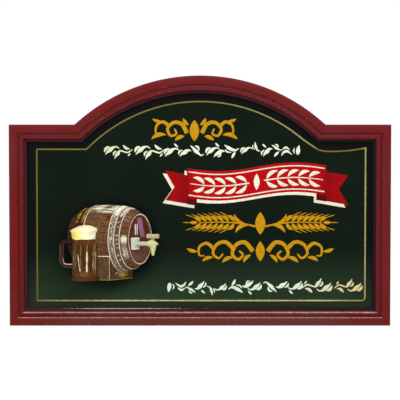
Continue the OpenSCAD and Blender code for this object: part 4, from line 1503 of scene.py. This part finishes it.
def tap_round(skin, profile, upright, seed):
    """Solid turned about the tap's pipe or about its upright axis, a little rough; rows are r, s, low."""
    for r, s, low in profile:
        skin.ring()
        for a in turns(TAP_COLUMNS):
            r_rough = max(0.15, r + 0.16 * rough(s * 0.3 + seed, math.cos(a) * 1.2, math.sin(a) * 1.2))
            u, v = polar(r_rough, a)
            place = tap_point(TAP_REACH + u, v, s) if upright else tap_point(s, u, v)
            skin.point(place, grain=(s, a * 4, seed * 20), low=low, high=0.1)
    return skin


def taper(r0, s0, r1, s1, shares, low=0):
    """Rows of a turned profile between two of its points."""
    return [(r0 + (r1 - r0) * t, s0 + (s1 - s0) * t, low) for t in shares]


def add_tap_plate():
    half = FLANGE_W / 2
    rise = ((0.1, -0.2), (0.6, 0), (FLANGE_T - 1, 0), (FLANGE_T - 0.3, -0.3), (FLANGE_T, -1), (FLANGE_T, -5))
    skin = Skin()
    for out, grow in rise:
        skin.ring()
        for u, v in rounded_section(half + grow, half + grow, max(0.6, 1.2 + grow * 0.1), 3):
            wear = 0.35 * rough(u * 0.3, v * 0.3, out)
            place = barrel_point(HEAD_FRONT + out, TAP_ACROSS + u + wear, Z_TAP - Z_BARREL + v + wear)
            edge = out > FLANGE_T - 0.5 and grow > -2
            skin.point(place, grain=(u, v, out * 3), high=0.2, line=0.6 * edge)
    skin.piece("tap_plate", TAP_PAINT, "tap_paint", "tap_flange")


def add_tap():
    """Pipe, double cone with its spout, and T-key, each a turned profile with rows r, s, low."""
    boss = STEM_R + 2.3
    nose = TAP_REACH - BODY_HALF
    collar = STEM_R + 1.2
    # low darkens the pipe a little, and as painted shade the creases at the boss and collars and the spout's
    # mouth
    pipe = [(0.5, 3.6, 0), (boss, 3.7, 0.5), (boss, 5.6, 0), (boss - 0.8, 6.4, 0), (STEM_R + 0.2, 6.6, 0.7)]
    pipe += taper(STEM_R, 7.2, STEM_R, nose + 3, np.linspace(0, 1, 16), 0.24)
    pipe += [(0.5, nose + 3.2, 0)]
    tap_round(Skin(), pipe, False, 1).piece("tap_pipe", TAP_PAINT, "tap_paint", "tap_stem")
    cone = [(0.3, nose, 0), (STEM_R + 0.9, nose + 0.1, 0.4), (collar, nose + 1.2, 0)]
    cone += taper(collar, nose + 1.2, BODY_R, TAP_REACH, (0.35, 0.7, 0.95))
    cone += [(BODY_R, TAP_REACH + 0.4, 0)]
    cone += taper(BODY_R, TAP_REACH, 0.8, TAP_REACH + BODY_HALF, (0.2, 0.5, 0.8, 0.96))
    body = tap_round(Skin(), cone + [(0.2, TAP_REACH + BODY_HALF, 0)], False, 2)
    body.next_part()
    spout = [(0.3, 1.5, 0), (SPOUT_R, 0.5, 0)]
    spout += taper(SPOUT_R, 0, SPOUT_TIP, -SPOUT_LEN, np.linspace(0.1, 0.96, 9))
    spout += [(SPOUT_TIP * 0.8, -SPOUT_LEN, 0), (SPOUT_TIP * 0.5, -SPOUT_LEN, 1), (0.2, 0.8 - SPOUT_LEN, 1)]
    tap_round(body, spout, True, 3).piece("tap_nose", NOSE_PAINT, "tap_paint", "tap_body")
    post = [(0.4, 4, 0), (POST_R, 4.1, 0), (POST_R, 6.6, 0.5), (POST_R + 1, 7.4, 0), (POST_R, 8.4, 0.4)]
    key = tap_round(Skin(), post + [(POST_R, KEY_RISE, 0), (0.4, KEY_RISE, 0)], True, 4)
    key.next_part()
    add_key_bar(key)
    key.piece("tap_key", KEY_PAINT, "tap_paint", "tap_handle")


def add_key_bar(skin):
    """Bar of the T-key, swelling at its ends."""
    for t in np.linspace(-1, 1, KEY_ROWS):
        s = t * KEY_LEN / 2
        past = max(0, abs(t) - KEY_END) / 0.18
        end = math.sqrt(max(0, 1 - past ** 2))
        r = max(0.3, (KEY_R - 0.35 + 0.35 * t * t) * end)
        skin.ring()
        for a in turns(TAP_COLUMNS):
            r_rough = r + 0.15 * rough(s * 0.25, math.cos(a), math.sin(a))
            place = tap_point(TAP_REACH + s, r_rough * math.cos(a), KEY_RISE + r_rough * math.sin(a))
            skin.point(place, grain=(s, a * 4, 90), high=0.1)


# Hardware on the back: the strips stand flush in the wood, the rest keeps its solids

FASTENER_LEN = 16
FASTENER_WAVES = 6
FASTENER_WAVE = 1.6
FASTENER_T = 0.8
FASTENER_D = 8
FASTENER_PROUD = 0.05


def add_fasteners():
    """Wavy steel strips across the six mitres."""
    inner = HALF_W - BACK_W
    mitres = (
        ((HALF_W, Z_BOTTOM), (inner, Z_BOTTOM + BACK_W)),
        ((HALF_W, Z_SHOULDER), (inner, Z_SHOULDER - BACK_W)),
        ((HALF_CHORD, Z_SHOULDER), (spring_x(BACK_W), Z_SHOULDER - BACK_W)),
    )
    shape = Shape()
    for start, end in np.array(mitres):
        run = (end - start) / np.linalg.norm(end - start)
        across = np.array((-run[1], run[0])) * FASTENER_LEN
        crest = []
        for i in range(FASTENER_WAVES + 1):
            wave = run * (i % 2 - 0.5) * FASTENER_WAVE
            crest.append((start + end) / 2 + across * (i / FASTENER_WAVES - 0.5) + wave)
        strip = crest + [spot - run * FASTENER_T for spot in reversed(crest)]
        for side in (-1, 1):
            shape.loft([[(side * x, y, z) for x, z in strip] for y in (FASTENER_PROUD, -FASTENER_D)])
    shape.piece("fastener_strips", STEEL, "steel", ("corner_fasteners",))


def finish_hardware():
    finishes = {
        STEEL: ("panel_points",),
        PLATED: ("hanger_strap_left", "hanger_strap_right", "hanger_ring_left", "hanger_ring_right"),
        BRASS: ("relief_screws", "hanger_screws"),
        PANEL_PAINT: ("sign_panel",),
    }
    for material, names in finishes.items():
        for name in names:
            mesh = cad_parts[name].data
            mesh.materials.clear()
            mesh.materials.append(material)


# Stage, light and camera


WORLD_LIGHT = 0.62
FLOOR_HALF = 4.0
FLOOR_GLOW = 1.04


def add_floor():
    """Pale floor under the sign, white to the camera but for its shadow."""
    mesh = bpy.data.meshes.new("floor")
    signs = ((-1, -1), (1, -1), (1, 1), (-1, 1))
    corners = [(FLOOR_HALF * x, FLOOR_HALF * y, Z_BOTTOM * MM) for x, y in signs]
    mesh.from_pydata(corners, [], [(0, 1, 2, 3)])
    floor = bpy.data.objects.new("floor", mesh)
    scene.collection.objects.link(floor)
    n = Nodes("floor")
    n.set("Principled BSDF", Base_Color=(0.86, 0.86, 0.86, 1), Roughness=0.9, Specular_IOR_Level=0.1)
    plain = n.tree.nodes["Principled BSDF"].outputs[0]
    glow = n.add("ShaderNodeEmission", {"Color": (255, 255, 255), "Strength": FLOOR_GLOW}).outputs[0]
    both = n.add("ShaderNodeMixShader", {0: n.times(n.seen(), 0.9), 1: plain, 2: glow})
    n.set("Material Output", Surface=both.outputs[0])
    mesh.materials.append(n.owner)


def add_world():
    """Soft light from all round; the camera and reflections see white."""
    scene.world = bpy.data.worlds.new("studio")
    n = Nodes("studio", scene.world)
    level = n.add("ShaderNodeMapRange", {"Value": n.seen(), "To Min": WORLD_LIGHT, "To Max": 1.0})
    n.set("Background", Color=(255, 255, 255), Strength=level.outputs[0])


# Place, size and power of each lamp, in metres and watts; both aim at the sign's middle
LAMPS = {"key": ((0.25, -1.3, 1.5), (1.4, 0.9), 18), "fill": ((-1.2, -1.6, 0.5), (1.0, 1.4), 8)}
LAMP_AIM = (0, 0, 0.18)


def add_lamp(name, at, size, power):
    data = bpy.data.lights.new(name, "AREA")
    data.shape = "RECTANGLE"
    data.size, data.size_y = size
    data.energy = power
    lamp = bpy.data.objects.new(name, data)
    lamp.location = at
    lamp.rotation_euler = (Vector(LAMP_AIM) - Vector(at)).to_track_quat("-Z", "Y").to_euler()
    scene.collection.objects.link(lamp)


def add_camera():
    data = bpy.data.cameras.new("camera")
    data.sensor_width = 36
    data.lens = FOCAL_PX * data.sensor_width / FRAME_PX
    camera = bpy.data.objects.new("camera", data)
    camera.location = Vector(CAMERA_AT) * MM
    camera.rotation_euler = (math.pi / 2 + CAMERA_PITCH, 0, 0)
    scene.collection.objects.link(camera)
    scene.camera = camera


# Paints and metals, and then the pieces

FRAME_PAINT = frame_paint()
PANEL_PAINT = panel_paint()
BARREL_PAINT = brushed_paint(
    "barrel_paint", (104, 64, 29), (64, 32, 8), (244, 242, 214), spot=SILVER, fleck=(156, 126, 94),
    streak=(0.06, 0.6, 0.6), dash=(0.1, 0.65, 0.65), soft=0.22
)
HEAD_PAINT = brushed_paint(
    "head_paint", (104, 46, 22), (68, 22, 4), (128, 104, 84), (240, 226, 220), (158, 118, 152),
    fleck=(112, 76, 56), soft=0.6
)
HAMMERED = dict(streak=(0.3, 0.3, 0.3), dash=(0.4, 0.5, 0.5))
HOOP_PAINT = brushed_paint(
    "hoop_paint", (138, 126, 102), (88, 74, 52), (240, 238, 216), fleck=(176, 166, 142), **HAMMERED
)
STUD_PAINT = brushed_paint(
    "stud_paint", (100, 72, 48), (56, 34, 18), (222, 212, 190), fleck=(150, 132, 110), **HAMMERED
)
REAR_PAINT = brushed_paint(
    "rear_paint", (92, 42, 20), (60, 22, 8), (176, 150, 118), fleck=(96, 60, 36), **HAMMERED
)
CRADLE_PAINT = brushed_paint(
    "cradle_paint", (98, 70, 36), (60, 36, 12), (154, 132, 94), (236, 216, 192), (178, 156, 72),
    fleck=(136, 112, 78), soft=0.4
)
MUG_PAINT = brushed_paint(
    "mug_paint", (100, 58, 16), (66, 32, 6), (150, 124, 74), (226, 214, 176), (138, 106, 40),
    fleck=(112, 82, 46), dash=(0.09, 0.7, 0.7), soft=0.4
)
HANDLE_PAINT = brushed_paint(
    "handle_paint", (56, 26, 10), (34, 13, 3), (118, 84, 70), (206, 182, 174), (88, 64, 34),
    fleck=(84, 56, 44)
)
FOAM_PAINT = brushed_paint(
    "foam_paint", (255, 254, 216), (252, 246, 200), (255, 255, 240), spot=(250, 232, 112),
    streak=(0.12, 0.12, 0.12), gloss=0.5, soft=0.6
)
TAP_PAINT = brushed_paint(
    "tap_paint", (214, 216, 196), (186, 190, 168), (236, 236, 222), (244, 240, 226), streak=(0.4, 0.4, 0.4)
)
NOSE_PAINT = brushed_paint(
    "nose_paint", (216, 216, 160), (190, 190, 130), (234, 234, 190), streak=(0.3, 0.3, 0.3)
)
KEY_PAINT = brushed_paint(
    "key_paint", (194, 187, 148), (168, 160, 117), (214, 208, 172), streak=(0.3, 0.3, 0.3)
)
BUNG_PAINT = brush_stroke_paint("bung_paint", (124, 14, 18), (104, 10, 14), (56, 6, 8))
LEAF_PAINT = brush_stroke_paint("leaf_paint", (232, 242, 222), (206, 220, 188), (212, 198, 138))
STRIPE_PAINT = brush_stroke_paint("stripe_paint", (192, 192, 122), (164, 162, 92), (92, 72, 18))
GOLD_PAINT = brush_stroke_paint("gold_paint", (200, 150, 10), (178, 126, 8), spread=0.2)
RED_PAINT = brush_stroke_paint("red_paint", (190, 3, 10), (160, 2, 8), (84, 2, 6), spread=0.25)
SHADE_PAINT = brush_stroke_paint("shade_paint", (240, 238, 220), (214, 214, 190))
STEEL = metal("steel", (150, 150, 150), (104, 98, 90), 0.38)
PLATED = metal("plated_steel", (196, 192, 184), (158, 150, 136), 0.24)
BRASS = metal("brass_screw", (196, 164, 92), (150, 122, 66), 0.28)

add_camera()
add_frame()
add_pinstripe()
add_vine("top_vine", TOP_VINE_AT, 1, 0.45)
add_vine("bottom_vine", BOTTOM_VINE_AT, -1, 1)
add_flourish()
add_ribbon()
add_barley()
add_barrel()
add_hoops()
add_head()
add_bung()
add_cradle()
add_mug()
add_foam()
add_handle()
add_tap_plate()
add_tap()
add_fasteners()
finish_hardware()
add_floor()
add_world()
for lamp_name, lamp in LAMPS.items():
    add_lamp(lamp_name, *lamp)
